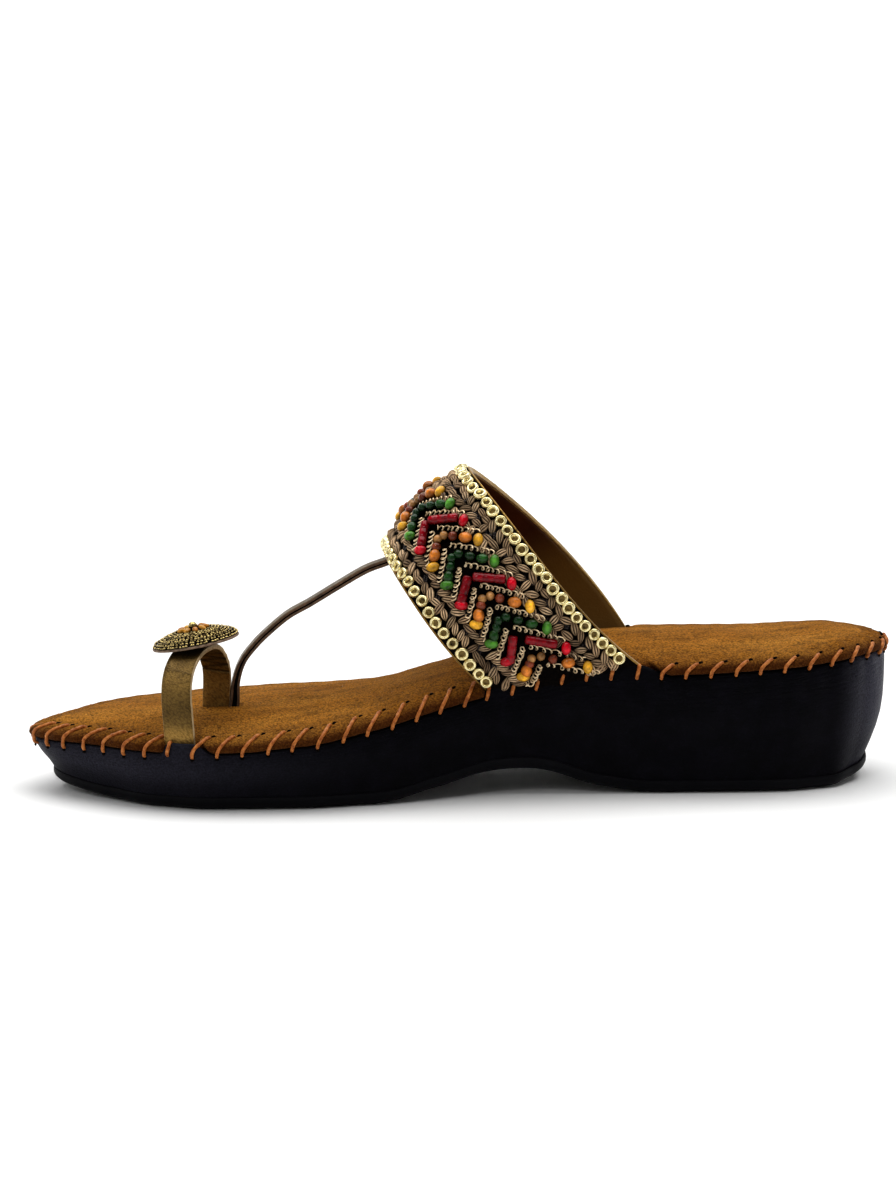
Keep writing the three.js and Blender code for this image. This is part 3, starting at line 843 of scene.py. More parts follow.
def midsole_profile(angle):
    turn = np.abs(angle)
    lean, inset, share, lip = MIDSOLE_PROFILE.T
    foot = bottom_height(turn) + OUTSOLE_HEIGHT + CLEARANCE * 0.3
    notch = np.mean([notch_at(angle, part) for part in np.linspace(0.1, 0.9, 9)], axis=0)[:, None]
    end = np.cos(turn)[:, None] ** 8
    at_toe = (turn < math.pi / 2)[:, None]
    waist = np.where(at_toe, TOE_WAIST, HEEL_WAIST) * end * (1 - smooth(0.0, 0.4, share))
    lean = lerp(lean, np.where(at_toe, 1 - share, (1 - share) ** 4), 0.85 * end)
    insets = taper_at(turn)[:, None] * lean + inset + waist
    pull = 0.5 + 0.5 * np.cos(stitch_phase(angle, -0.12))
    under_edge = between(0.72, 0.9, 0.95, 1.0, share)
    insets = insets + EDGE_PULL * (pull[:, None] - 0.3) * under_edge
    heights = lerp(foot[:, None], top_at(angle)[:, None], share) + LIP_HEIGHT * notch * lip
    return wall_points(angle, insets, heights)


# At each point of the wrap: its place for the creases, their strength, and how pale it is with painted
# sheen towards the toe, at the heel end and up the wall
wall_share = np.concatenate([MIDSOLE_PROFILE[:, 2], [1.0], MIDSOLE_PROFILE[::-1, 2], [0.0]])
wall_side = np.where(np.arange(len(wall_share)) < len(MIDSOLE_PROFILE), -1, 1)
wall_arc = arc_at(SOLE_TURNS)[:, None] * wall_side
wall_along = along_at(SOLE_TURNS)[:, None]
wall_flow = np.stack(np.broadcast_arrays(wall_arc * MM, wall_share * CREASE_HEIGHT * MM, 0.0), -1)
wall_high = np.broadcast_to(0.12 + 0.88 * smooth(0.55, 0.92, wall_share), wall_arc.shape)
toe_painted_sheen = 0.55 * (1 - smooth(12, 110, wall_along))
heel_painted_sheen = smooth(LENGTH - 20, LENGTH - 2, wall_along)
wall_painted_sheen = np.maximum(toe_painted_sheen, heel_painted_sheen) * (0.4 + 0.6 * smooth(0.05, 0.6, wall_share))
midsole = loft_sections(
    "wedge_wrap", wrap, midsole_profile, {"flow": wall_flow, "high": wall_high, "painted_sheen": wall_painted_sheen})
put(midsole, "black_wrap", "midsole")

# Footbed: rolled edge from the underside over to the top, pulled in along each stitch
FOOTBED_PROFILE = np.array([
    (1.1, 0), (0.1, 0.02), (-0.5, 0.1), (-0.78, 0.22), (-0.75, 0.35), (-0.5, 0.48), (0, 0.6), (0.8, 0.71),
    (1.9, 0.81), (3.3, 0.89), (5.0, 0.955), (7.0, 1.0)])
FOOTBED_TOP = np.linspace(0, 1, 40)[1:-1]
PUCKER = {"medial": 0.34, "lateral": 0.14}
DIMPLE = {"medial": 0.28, "lateral": 0.05}
rim_lean = np.linspace(0, 1, len(FOOTBED_PROFILE))


def footbed_profile(angle):
    inset, share = FOOTBED_PROFILE.T
    lean = np.broadcast_to(rim_lean, (len(angle), len(rim_lean)))
    pull = np.cos(stitch_phase(angle[:, None], lean))
    notch = notch_at(angle[:, None], rim_lean[None, :])
    strength = np.sin(math.pi * np.clip(rim_lean * 1.15, 0, 1)) ** 0.8
    pucker = np.where(angle > 0, PUCKER["lateral"], PUCKER["medial"])[:, None]
    insets = inset + NOTCH_DEPTH * notch + (pucker * pull + 0.1) * strength * (1 - notch)
    heights = top_at(angle)[:, None] + CLEARANCE + PAD_THICKNESS * share
    dimple = np.where(angle > 0, DIMPLE["lateral"], DIMPLE["medial"])[:, None]
    near_top = between(0.5, 0.9, 0.93, 1.0, rim_lean) * (1 - notch)
    heights = heights - dimple * (pull + 0.4) * near_top
    return wall_points(angle, insets, heights)


def footbed_top(turns, share, p):
    lift = PAD_CROWN + FOREFOOT_CROWN * (1 - smooth(80, 140, along_at(turns)))
    crown = lift * np.sin(turns) * 4 * share * (1 - share)
    deck = lerp(medial_top(turns), lateral_top(turns), share)
    x, y = p[:, 0], p[:, 1]
    waves = 0.16 * np.sin(x / 9.5 + 0.6 * np.sin(y / 7)) * np.sin(y / 8 + 1.3)
    soft = waves + 0.1 * np.sin(x / 4.1 + y / 5.3)
    foot = between(0, 0.18, 0.82, 1, share)
    return deck + CLEARANCE + PAD_THICKNESS + crown + soft * foot * np.sin(turns)


rim_side = 1 - 0.75 * smooth(0.15, 1.0, rim_lean)
rim_inner = 0.25 * (1 - smooth(0, 0.14, np.minimum(FOOTBED_TOP, 1 - FOOTBED_TOP)))
rim_row = np.concatenate([rim_side, rim_inner, rim_side[::-1], [1.0]])
footbed_rim = np.broadcast_to(rim_row, (len(SOLE_TURNS), len(rim_row)))
footbed = loft_sections(
    "padded_footbed", suede, footbed_profile, {"rim": footbed_rim}, FOOTBED_TOP, footbed_top)
put(footbed, "tan_suede", "footbed")


# Whip stitches over the rolled edge, with a pinhole at the top of each and one in the wall below it; each
# pinhole is a dark ellipsoid on the surface, painted shade in place of a hole
def rim_point(arc, inset, height):
    angle = angle_at(arc)
    xy = inset_outline(np.asarray(angle), np.asarray(inset))
    return np.array([xy[0], xy[1], float(top_at(angle)) + height])


def on_edge(arc):
    return (arc + half_edge) % (2 * half_edge) - half_edge


def heel_share(arc):
    share = abs(arc) / half_edge
    return 0.8 * smooth(0.56, 0.66, share) + 0.2 * smooth(0.78, 0.96, share)


def pad_height(inset):
    """Height of the pad's top over the wall's edge."""
    return CLEARANCE + PAD_THICKNESS * np.interp(inset, FOOTBED_PROFILE[6:, 0], FOOTBED_PROFILE[6:, 1])


def whip_path(arc):
    """A stitch's path over the rolled edge, and its pinhole's distance round, inset and height."""
    reach = 1 - 0.36 * heel_share(arc)
    sunk = 0.8 if arc > 0 else 0.0
    foot = -0.45 - 0.8 * toe_share(arc)

    def at(lean, inset, height):
        return rim_point(on_edge(arc - slant_at(lean, arc) * reach), inset, height)

    knots = [at(-0.16, 1.0, foot - 0.3), at(-0.13, 0.1, foot), at(-0.08, -0.3, 0.5 * foot + 0.2)]
    spots = np.linspace(0.2, 0.87 * reach, 5)
    insets = np.interp(spots, rim_lean, FOOTBED_PROFILE[:, 0])
    heights = CLEARANCE + PAD_THICKNESS * np.interp(spots, rim_lean, FOOTBED_PROFILE[:, 1])
    for lean, inset, height in zip(np.linspace(0.2, 1.0, 5), insets, heights):
        knots.append(at(lean, inset + 0.3 * (1 - lean), height + 0.16 * lean - sunk * lean))
    knots.append(at(1.06, insets[-1] + 0.8, heights[-1] - 0.7))
    inset = insets[-1] + 0.9
    hole = (on_edge(arc - (slant_at(1.08, arc) + 1.0) * reach), inset, pad_height(inset))
    return smooth_path(knots, 24), hole


def short_path(arc):
    knots = [rim_point(arc, 1.0, -0.6), rim_point(arc, 0.0, -0.1), rim_point(arc - 0.2, -0.2, 1.0),
             rim_point(arc - 0.5, -0.1, 2.2), rim_point(arc - 0.7, 0.35, LIP_HEIGHT + 0.1),
             rim_point(arc - 0.8, 1.2, LIP_HEIGHT - 0.1)]
    return smooth_path(knots, 16)


STITCH_JITTER = 0.25
TOP_HOLE_SCALE = (1, 1, 1)
WALL_HOLE_SCALE = (0.75, 0.6, 0.9)
stitch_parts = []
pinhole_shades = []
for k in range(int(-half_edge // STITCH_PITCH), int(half_edge // STITCH_PITCH) + 1):
    arc = STITCH_START + k * STITCH_PITCH + rng.uniform(-STITCH_JITTER, STITCH_JITTER)
    if abs(arc) > half_edge - 1:
        continue
    middle = angle_at(arc - STITCH_SLANT * 0.4)
    if notch_at(np.asarray(middle)) > 0.4:
        path = short_path(arc)
    else:
        path, (upper, inset, height) = whip_path(arc)
        sunk = 0.05 if arc < 0 else 0.42
        along = rim_point(upper + 0.4, inset, height) - rim_point(upper - 0.4, inset + 0.35, height)
        pinhole_shades.append((rim_point(upper, inset, height - sunk), along, TOP_HOLE_SCALE))
        along = rim_point(arc + 0.4, 0, 0) - rim_point(arc - 0.4, 0, 0)
        pinhole_shades.append((rim_point(arc, 0.1, -1.3 - 0.8 * toe_share(arc)), along, WALL_HOLE_SCALE))
    stitch_parts.append(tube(path, THREAD_RADIUS, 10, THREAD_TWIST, THREAD_PLY))
put(mesh_object("whip_stitches", *join_parts(stitch_parts), [thread]), "tan_suede", "footbed")

hole_places, hole_along, hole_scales = (np.array(values, float) for values in zip(*pinhole_shades))
hole_x = unit(hole_along * np.array([1, 1, 0]))
hole_z = np.broadcast_to(UP, hole_x.shape)
hole_y = np.cross(hole_z, hole_x)
# Dark ellipsoids as painted shade standing in for the inside of the pinholes
hole_base = ellipsoid(0.82, 0.5, 0.5, 10, 6)
hole_shape = copies(hole_base, hole_places, hole_x, hole_y, hole_z, hole_scales)
put(mesh_object("rim_pinhole_shades", *hole_shape, [ground]), "tan_suede", "footbed")


# Sheets that follow the band, each with its two faces and its rim
SHEET_ROWS = 121
SHEET_COLUMNS = 25
SHEET_TAIL = 5
TAIL_LEAN = 0.25


def band_sheet(name, low, high, margin, material, with_rim=False):
    arch = np.concatenate([[0.0], np.linspace(0, 1, SHEET_ROWS), [1.0]])[:, None]
    share = np.linspace(margin, 1 - margin, SHEET_COLUMNS)[None, :]
    arch, share = np.broadcast_arrays(arch, share)
    layers = []
    for offset in (high, low):
        p = band_point(arch, share, offset).copy()
        for row, near, far, lean in ((0, 1, 3, TAIL_LEAN), (-1, -2, -4, -TAIL_LEAN)):
            step = p[row] - p[far]
            step[:, 1] = 0
            direction = unit(step)
            direction[:, 1] = lean
            p[row] = p[near] + direction * SHEET_TAIL
        layers.append(p)
    ring = np.concatenate([layers[0], layers[1][:, ::-1]], axis=1)
    rows, around = ring.shape[:2]
    faces = [f[::-1] for f in ring_faces(rows, around)]
    for row in (0, rows - 1):
        for c in range(SHEET_COLUMNS - 1):
            a = row * around
            quad = (a + c, a + c + 1, a + around - 2 - c, a + around - 1 - c)
            faces.append(quad if row == 0 else quad[::-1])
    made = None
    if with_rim:
        from_base = np.minimum(arch, 1 - arch)
        edge = 0.8 * (1 - smooth(0.08, 0.2, from_base)) + 0.5 * smooth(0.34, 0.44, from_base)
        made = {"rim": np.concatenate([edge, edge[:, ::-1]], axis=1).ravel()}
    piece = mesh_object(name, ring.reshape(-1, 3), faces, [material], None, made)
    weld(piece)
    return piece


band_lining = band_sheet("band_lining", low=-1.25, high=-0.5, margin=0.006, material=lining, with_rim=True)
put(band_lining, "bronze_leather", "upper")
band_ground = band_sheet("band_ground", low=-0.45, high=BEAD_LEVEL, margin=0.012, material=ground)
put(band_ground, "embroidery", "upper")

# Leather binding over both edges of the band
BINDING_HALF_WIDTH = 0.4
BINDING_HALF_DEPTH = 1.3
BINDING_ROUNDING = 0.7


def band_binding(name, share):
    arch = np.linspace(0.0, 1.0, 181)
    point, _, across, normal = band_frame(arch, np.full_like(arch, share), 0.0)
    a = np.linspace(0, 2 * math.pi, 14, endpoint=False)
    wide = BINDING_HALF_WIDTH * np.sign(np.cos(a)) * np.abs(np.cos(a)) ** BINDING_ROUNDING
    deep = BINDING_HALF_DEPTH * np.sign(np.sin(a)) * np.abs(np.sin(a)) ** BINDING_ROUNDING
    ring = point[:, None] + wide[None, :, None] * across[:, None] + deep[None, :, None] * normal[:, None]
    piece = mesh_object(name, ring.reshape(-1, 3), rod_faces(*ring.shape[:2]), [bronze])
    weld(piece)
    put(piece, "bronze_leather", "upper")


EDGE_SHARE = 0.3 / band_width
band_binding("binding_front", EDGE_SHARE)
band_binding("binding_rear", 1 - EDGE_SHARE)

# Gold beads sewn along both edges, their hollow outwards
BEAD_PROFILE = ((0.02, 0.6), (0.5, 0.62), (0.82, 0.85), (0.92, 1.3), (1.06, 1.6), (1.32, 1.75),
                (1.62, 1.65), (1.82, 1.3), (1.88, 0.8), (1.74, 0.25), (1.4, 0.0), (0.02, 0.0))
BEAD_SEGMENTS = 18
HOLLOW_RINGS = 2
EDGE_BEAD_LEVEL = 1.3
EDGE_BEAD_MARGIN = 0.014
bead_base = lathe(BEAD_PROFILE, BEAD_SEGMENTS)
bead_hollow = [1 if i < HOLLOW_RINGS * BEAD_SEGMENTS else 0 for i in range(len(bead_base[1]))]


def bead_row(name, share, count, node):
    arch = even_arches(share, EDGE_BEAD_LEVEL, count, EDGE_BEAD_MARGIN, 1 - EDGE_BEAD_MARGIN)
    point, along, across, normal = band_frame(arch, np.full(count, share), EDGE_BEAD_LEVEL)
    turn = rng.uniform(0, 2 * math.pi, count)[:, None]
    lean = rng.normal(0, 0.13, (count, 2))
    n = unit(normal + along * lean[:, :1] + across * lean[:, 1:])
    x = unit(np.cross(across, n))
    y = np.cross(n, x)
    x, y = turned(x, y, turn)
    point = point + across * rng.normal(0, 0.12, (count, 1))
    size = rng.uniform(0.95, 1.06, (count, 1)) * rng.uniform(0.96, 1.05, (count, 3))
    shape = copies(bead_base, point, x, y, n, size)
    put(mesh_object(name, *shape, [gold, gold_dark], bead_hollow * count), "gold_beads", node)


bead_row("gold_beads_front", BEAD_FROM_EDGE / band_width, BEADS_FRONT, "bead_edging_front")
bead_row("gold_beads_rear", 1 - BEAD_FROM_EDGE / band_width, BEADS_REAR, "bead_edging_rear")
# Thread petals: ridged almonds in slanted columns beside each bead row and over the crest
PETAL_RIDGES = 3
PETAL_LEAN = 40
PETAL_TURNS = (0, 0, 0, 40, -30)


def petal_shape(length, width, height, rows):
    """An almond with lengthwise ridges, and each point's painted shade and highlight, dark in the grooves
    and at the tips, light on the ridges.
    """
    x = np.linspace(-1, 1, rows)[:, None]
    v = np.linspace(-1, 1, 6 * PETAL_RIDGES + 1)[None, :]
    swell = np.maximum(np.cos(math.pi / 2 * x), 0) ** 0.72 + 0.03
    ridge = np.abs(np.sin(math.pi * PETAL_RIDGES * (v + 1) / 2)) ** 0.8
    z = height * swell * (np.sqrt(1 - 0.85 * v ** 2) * (0.55 + 0.45 * ridge))
    top = np.stack(np.broadcast_arrays(x * length / 2, v * swell * width / 2, z), -1)
    under = np.stack([x * length / 2, 0 * x, 0 * x - 0.3], -1)
    # Painted shade in the grooves, at the tips and underneath; painted highlight on the ridge crests
    shade = (0.02 + 1.3 * ridge ** 2.4) * (0.35 + 0.65 * swell)
    shade = np.concatenate([shade, np.full((rows, 1), 0.05)], axis=1)
    points = np.concatenate([top, under], axis=1)
    faces = [f[::-1] for f in ring_faces(rows, points.shape[1])]
    return (points.reshape(-1, 3), faces), shade.ravel()


petal_base, petal_painted_shade = petal_shape(length=4.7, width=2.3, height=1.4, rows=11)
PETAL_COLOURS = np.array([
    (0.46, 0.32, 0.195), (0.37, 0.255, 0.155), (0.54, 0.385, 0.24), (0.29, 0.195, 0.12)])


def petal_piece(name, columns, row_step, crest_only=False):
    """Columns give the distance from the front edge. A crest piece stops where the chevrons begin."""
    places = []
    for side, hand in SIDE_SIGN.items():
        for r in range(int((crest_to_base[side][-1] - 0.8) / row_step)):
            for column, centre in enumerate(columns):
                a = 0.6 + (r + 0.5 * (column % 2)) * row_step + rng.normal(0, 0.22)
                b = centre + rng.normal(0, 0.2)
                if crest_only and a > abs(b - CHEVRON_CENTRE):
                    continue
                lean = (2 * (column % 2) - 1) * PETAL_LEAN + rng.choice(PETAL_TURNS) + rng.normal(0, 15)
                places.append((float(arch_from_crest(a, side)), b / band_width, hand * math.radians(lean)))
    arch, share, lean = np.array(places).T
    point, along, across, normal = band_frame(np.clip(arch, 0.012, 0.988), share, PETAL_LEVEL)
    count = len(arch)
    point = point + normal * rng.uniform(-0.1, 0.25, (count, 1))
    x = along * np.cos(lean)[:, None] + across * np.sin(lean)[:, None]
    y = np.cross(normal, x)
    size = rng.uniform((0.84, 0.88, 0.85), (1.1, 1.12, 1.15), (count, 3))
    tint = PETAL_COLOURS[rng.integers(0, len(PETAL_COLOURS), count)] * rng.uniform(0.6, 1.25, (count, 1))
    shape = copies(petal_base, point, x, y, normal, size)
    # Each petal's tint times its painted shade and highlight
    tints = repeat_values(tint, petal_base) * np.tile(petal_painted_shade, count)[:, None]
    put(mesh_object(name, *shape, [silk], None, {"tint": tints}), "embroidery", "beaded_panel")


petal_piece("petals_front", (5.3, 8.6), 2.9)
petal_piece("petals_rear", (30.7, 27.9, 25.1), 2.8)
petal_piece("petals_crest", (22.4, 19.9, 17.2, 14.5, 12.0), 2.8, crest_only=True)

# Colours of the chevrons' beads, and of the dark seeds beyond their arms
dark_green = (0.005, 0.03, 0.006)
mid_green = (0.013, 0.06, 0.01)
bright_green = (0.06, 0.19, 0.022)
dark_red = (0.17, 0.0012, 0.006)
bright_red = (0.4, 0.003, 0.014)
brown = (0.17, 0.036, 0.014)
taupe = (0.3, 0.15, 0.05)
orange = (0.46, 0.15, 0.022)
yellow = (0.72, 0.37, 0.03)
seed_brown = (0.014, 0.009, 0.008)

# Beads along one arm: kind, place as a share of the arm, length along the arm, width, tint
ARM_BEADS = {
    "green": (("oval", 0.07, 3.1, 2.8, dark_green), ("oval", 0.3, 3.4, 2.7, dark_green),
              ("oval", 0.57, 3.9, 3.0, mid_green), ("oval", 0.83, 3.0, 4.2, bright_green)),
    "red": (("tube", 0.38, 0.74, 2.9, dark_red), ("oval", 0.83, 3.0, 4.2, bright_red)),
    "yellow": (("oval", 0.06, 2.7, 2.8, taupe), ("oval", 0.27, 2.9, 3.0, brown),
               ("oval", 0.54, 4.2, 3.4, orange), ("oval", 0.83, 3.0, 4.2, yellow)),
}
oval_base = ellipsoid(0.5, 0.5, 0.5, 14, 9)
TUBE_PROFILE = ((0.05, -0.5), (0.38, -0.5), (0.49, -0.45), (0.5, -0.2), (0.45, -0.17), (0.5, -0.14),
                (0.48, 0.14), (0.43, 0.17), (0.49, 0.2), (0.5, 0.45), (0.38, 0.5), (0.05, 0.5))
tube_points, tube_faces = lathe(TUBE_PROFILE, 12)
tube_base = (tube_points[:, [2, 0, 1]], tube_faces)
seed_base = ellipsoid(0.5, 0.5, 0.42, 8, 6)
COIL_PITCH = 1.5
COIL_RADIUS = 0.7
COIL_WIRE = 0.23
DARK_SEED_SIZE = (0.9, 0.9, 0.8)
DARK_SEED_STEP = 0.72
DARK_SEED_STRAYS = (-2.4, -1.6, 1.6, 2.4, 3.2)


def arm_place(a, b, side, offset):
    arch = arch_from_crest(a, side)
    return band_frame(np.clip(arch, 0.01, 0.99), np.asarray(b) / band_width, offset)


bead_sets = {"oval": [], "tube": [], "seed": []}
coil_parts = []


def add_bead(kind, side, hand, apex, q, size, tint, jitter, stray=0.0):
    """One bead at a distance q along a chevron's arm, and stray to its side."""
    arm = np.array(CHEVRON_ARMS[hand])
    arm = arm / np.linalg.norm(arm)
    place = q + rng.normal(0, jitter)
    a = apex + arm[0] * place - arm[1] * stray
    b = CHEVRON_CENTRE + arm[1] * (place + ARM_START) + arm[0] * stray
    if a > crest_to_base[side][-1] - BASE_MARGIN:
        return
    p, along, across, normal = arm_place(a, b, side, BEAD_LEVEL)
    x = along * SIDE_SIGN[side] * arm[0] + across * arm[1]
    y = np.cross(normal, x)
    x, y = turned(x, y, rng.normal(0, 0.1))
    shade = np.array(tint) * rng.uniform(0.8, 1.2)
    bead_sets[kind].append((p + normal * size[2] * 0.42, x, y, normal, size, shade))


def coil_path(side, hand, apex):
    """A loose wire coil along one arm, half a pitch below its beads."""
    reach = math.hypot(*CHEVRON_ARMS[hand])
    arm = np.array(CHEVRON_ARMS[hand]) / reach
    q = np.arange(0.2, reach * 0.98, COIL_PITCH / 12)
    a = apex + CHEVRON_PITCH / 2 + arm[0] * q
    b = CHEVRON_CENTRE + arm[1] * (q + ARM_START)
    inside = a < crest_to_base[side][-1] - BASE_MARGIN
    q = q[inside]
    p, along, across, normal = arm_place(a[inside], b[inside], side, BEAD_LEVEL)
    lead = along * SIDE_SIGN[side] * arm[0] + across * arm[1]
    wide = np.cross(normal, lead)
    turn = 2 * math.pi * q / COIL_PITCH + np.cumsum(rng.normal(0, 0.17, len(q)))
    radius = COIL_RADIUS * (1 + 0.2 * np.sin(1.9 * q + rng.uniform(0, 6)))
    rise = (radius * np.sin(turn))[:, None]
    swing = (radius * np.cos(turn))[:, None]
    return p + normal * (0.75 + 0.7 * rise) + lead * 1.05 * rise + wide * swing


for side in SIDE_SIGN:
    count = int((crest_to_base[side][-1] - CHEVRON_FIRST - 9) / CHEVRON_PITCH) + 1
    for k in range(count):
        apex = CHEVRON_FIRST + k * CHEVRON_PITCH
        for hand in ("front", "rear"):
            reach = math.hypot(*CHEVRON_ARMS[hand])
            for kind, place, length, width, tint in ARM_BEADS[CHEVRON_COLOURS[k % 3]]:
                length = length * reach if kind == "tube" else length
                size = (length, width, min(length, width) * 1.02)
                add_bead(kind, side, hand, apex, place * reach, size, tint, jitter=0.15)
            coil_parts.append(tube(coil_path(side, hand, apex), COIL_WIRE, 6))
            for q in np.arange(reach * 0.95, reach * 1.22, DARK_SEED_STEP):
                for stray in DARK_SEED_STRAYS:
                    add_bead("seed", side, hand, apex, q, DARK_SEED_SIZE, seed_brown, 0.25, stray)


def bead_piece(name, kind, base, material):
    rows = bead_sets[kind]
    place, x, y, z, size, tint = [np.array([row[i] for row in rows]) for i in range(6)]
    height = base[0][:, 2] / np.abs(base[0][:, 2]).max()
    # Painted shade darkens each bead towards its foot; a painted highlight lightens its top
    shade = 0.1 + 0.75 * smooth(-0.3, 0.5, height) + 0.6 * smooth(0.7, 0.98, height)
    shape = copies(base, place, x, y, z, size)
    tints = repeat_values(tint, base) * np.tile(shade, len(rows))[:, None]
    put(mesh_object(name, *shape, [material], None, {"tint": tints}), "embroidery", "beaded_panel")


bead_piece("chevron_beads", "oval", oval_base, glass_beads)
bead_piece("chevron_tubes", "tube", tube_base, glass_beads)
put(mesh_object("gold_coils", *join_parts(coil_parts), [gold_coil]), "embroidery", "beaded_panel")
bead_piece("dark_seeds", "seed", seed_base, glass_beads)
# Flat strap with rounded edges. The cut edges take the second material.
STRAP_SECTION = np.array([
    (-0.97, -1.0), (-0.6, -1.0), (-0.2, -1.0), (0.2, -1.0), (0.6, -1.0), (0.97, -1.0), (1.0, -0.6),
    (1.0, 0.6), (0.97, 1.0), (0.6, 1.0), (0.2, 1.0), (-0.2, 1.0), (-0.6, 1.0), (-0.97, 1.0), (-1.0, 0.6),
    (-1.0, -0.6)])
STRAP_EDGES = {5, 6, 7, 13, 14, 15}


def strap_mesh(name, path, width_direction, widths, thickness, materials, relief=None, age=None):
    tangent = unit(np.gradient(path, axis=0))
    across = np.broadcast_to(width_direction, path.shape)
    normal = unit(np.cross(across, tangent))
    w = np.broadcast_to(widths, (len(path),))[:, None] / 2 * STRAP_SECTION[None, :, 0]
    d = np.broadcast_to(thickness, (len(path),))[:, None] / 2 * STRAP_SECTION[None, :, 1]
    if relief is not None:
        d = d + relief(np.linspace(0, 1, len(path))[:, None], STRAP_SECTION[None, :, 0])
    ring = path[:, None] + w[..., None] * across[:, None] + d[..., None] * normal[:, None]
    n = len(STRAP_SECTION)
    faces = rod_faces(len(path), n)
    caps = [1, 1]
    kinds = [1 if i % n in STRAP_EDGES else 0 for i in range(len(faces) - len(caps))] + caps
    # Painted light, when given, is multiplied into the colour
    tints = None if age is None else {"age": np.repeat(age.ravel()[:, None], 3, axis=1)}
    return mesh_object(name, ring.reshape(-1, 3), faces, materials, kinds, tints)


# Toe loop
loop_near = sole_entry(LOOP_NEAR_ALONG, "medial", BAND_INSET)
loop_far_turn = turn_at(LOOP_FAR_ALONG)
loop_far = np.array([LOOP_FAR_ALONG - LENGTH / 2, POST_ACROSS, 0.0])
loop_far[2] = lerp(medial_top(loop_far_turn), lateral_top(loop_far_turn), 0.5) + PAD_THICKNESS
loop_plane = unit((loop_far - loop_near) * np.array([1, 1, 0]))
loop_width_direction = np.array([loop_plane[1], -loop_plane[0], 0])


def loop_point(arch):
    across, rise = arch_shape(np.asarray(arch, float), LOOP_SQUARENESS, 0)
    p = lerp(loop_near, loop_far, across[..., None])
    p[..., 2] = lerp(p[..., 2], LOOP_TOP, rise)
    return p


# Creases across the loop: place along it, slant from side to side, depth
LOOP_CREASES = ((0.655, 0.006, 0.2), (0.678, -0.008, 0.26), (0.698, 0.01, 0.3), (0.716, -0.008, 0.34),
                (0.735, 0.009, 0.28), (0.752, -0.01, 0.36), (0.774, 0.005, 0.4), (0.3, 0.01, 0.1),
                (0.345, -0.012, 0.14))
CREASE_WIDTH = 0.0062


def loop_creases(along, across):
    depth = np.zeros(np.broadcast_shapes(along.shape, across.shape))
    for place, slant, size in LOOP_CREASES:
        depth = depth + size * peak(0, CREASE_WIDTH, along - place - slant * across)
    return depth


def loop_relief(along, across):
    return 0.45 * loop_creases(along, across) - 0.11 * across ** 2


def loop_painted_light(along, across):
    """Painted light: darker over the crown, where the ornament's shadow falls, and in the creases, paler
    down both legs, with two painted highlights on the near leg.
    """
    crown = 0.35 - 0.02 * smooth(0.3, 0.43, along) + 0.38 * smooth(0.68, 0.9, along)
    gleam = 0.28 * peak(0.3, 0.05, along) + 0.62 * peak(0.1, 0.045, along)
    return (crown + gleam) * (1 - np.minimum(2 * loop_creases(along, across), 0.7))


# Bows of the loop's legs: shift towards the heel, place along the loop, spread
LOOP_BOWS = ((-1.9, 0.32, 0.16), (0.8, 0.77, 0.1))
LOOP_TAIL = 3.0
TAIL_INWARD = 0.7

loop_arch = loop_point(np.linspace(0, 1, 121))
near_tail = loop_arch[:1] + loop_plane * TAIL_INWARD - UP * LOOP_TAIL
far_tail = loop_arch[-1:] - UP * LOOP_TAIL
loop_path = smooth_path(np.vstack([near_tail, loop_arch[::3], far_tail]), 421)
loop_share = np.linspace(0, 1, len(loop_path))
for shift, place, spread in LOOP_BOWS:
    loop_path[:, 0] += shift * peak(place, spread, loop_share)
loop_widths = np.linspace(LOOP_WIDTH, LOOP_FAR_WIDTH, len(loop_path))
# Painted shadow under the ornament, painted shade in the creases and painted highlights down the legs
loop_painted_tints = loop_painted_light(loop_share[:, None], STRAP_SECTION[None, :, 0])
toe_loop = strap_mesh(
    "toe_loop", loop_path, loop_width_direction, loop_widths, LOOP_THICKNESS, [loop_bronze, cut_edge],
    loop_relief, loop_painted_tints)
put(toe_loop, "bronze_leather", "upper")

# Centre strip: two leathers over a dark core, opened out towards the base
STRIP_SHIFT = 0.6
STRIP_LEATHER = 0.78
STRIP_OPENING = 0.95
STRIP_OPEN_SHARE = 0.27
CORE_THINNING = 0.54
CORE_NARROWING = 0.5
strip_path = smooth_path(STRIP_PATH - np.array([LENGTH / 2, 0, 0]), 121)
strip_across = np.array([0.0, -1.0, 0.0])
strip_tangent = unit(np.gradient(strip_path, axis=0))
strip_normal = unit(np.cross(np.broadcast_to(strip_across, strip_path.shape), strip_tangent))
strip_share = np.linspace(0, 1, len(strip_path))
strip_spread = 1 + STRIP_OPENING * (1 - smooth(0, STRIP_OPEN_SHARE, strip_share))
core_thickness = 2 * STRIP_SHIFT * strip_spread - CORE_THINNING
for name, shift, thickness, width, looks in (
        ("strip_outer", STRIP_SHIFT, STRIP_LEATHER, STRIP_WIDTH, [strip_bronze, strip_edge]),
        ("strip_core", 0.0, core_thickness, STRIP_WIDTH - CORE_NARROWING, [ground, ground]),
        ("strip_inner", -STRIP_SHIFT, STRIP_LEATHER, STRIP_WIDTH, [strip_bronze, strip_edge])):
    layer_path = strip_path + strip_normal * shift * strip_spread[:, None]
    layer = strap_mesh(name, layer_path, strip_across, width, thickness, looks)
    put(layer, "bronze_leather", "upper")

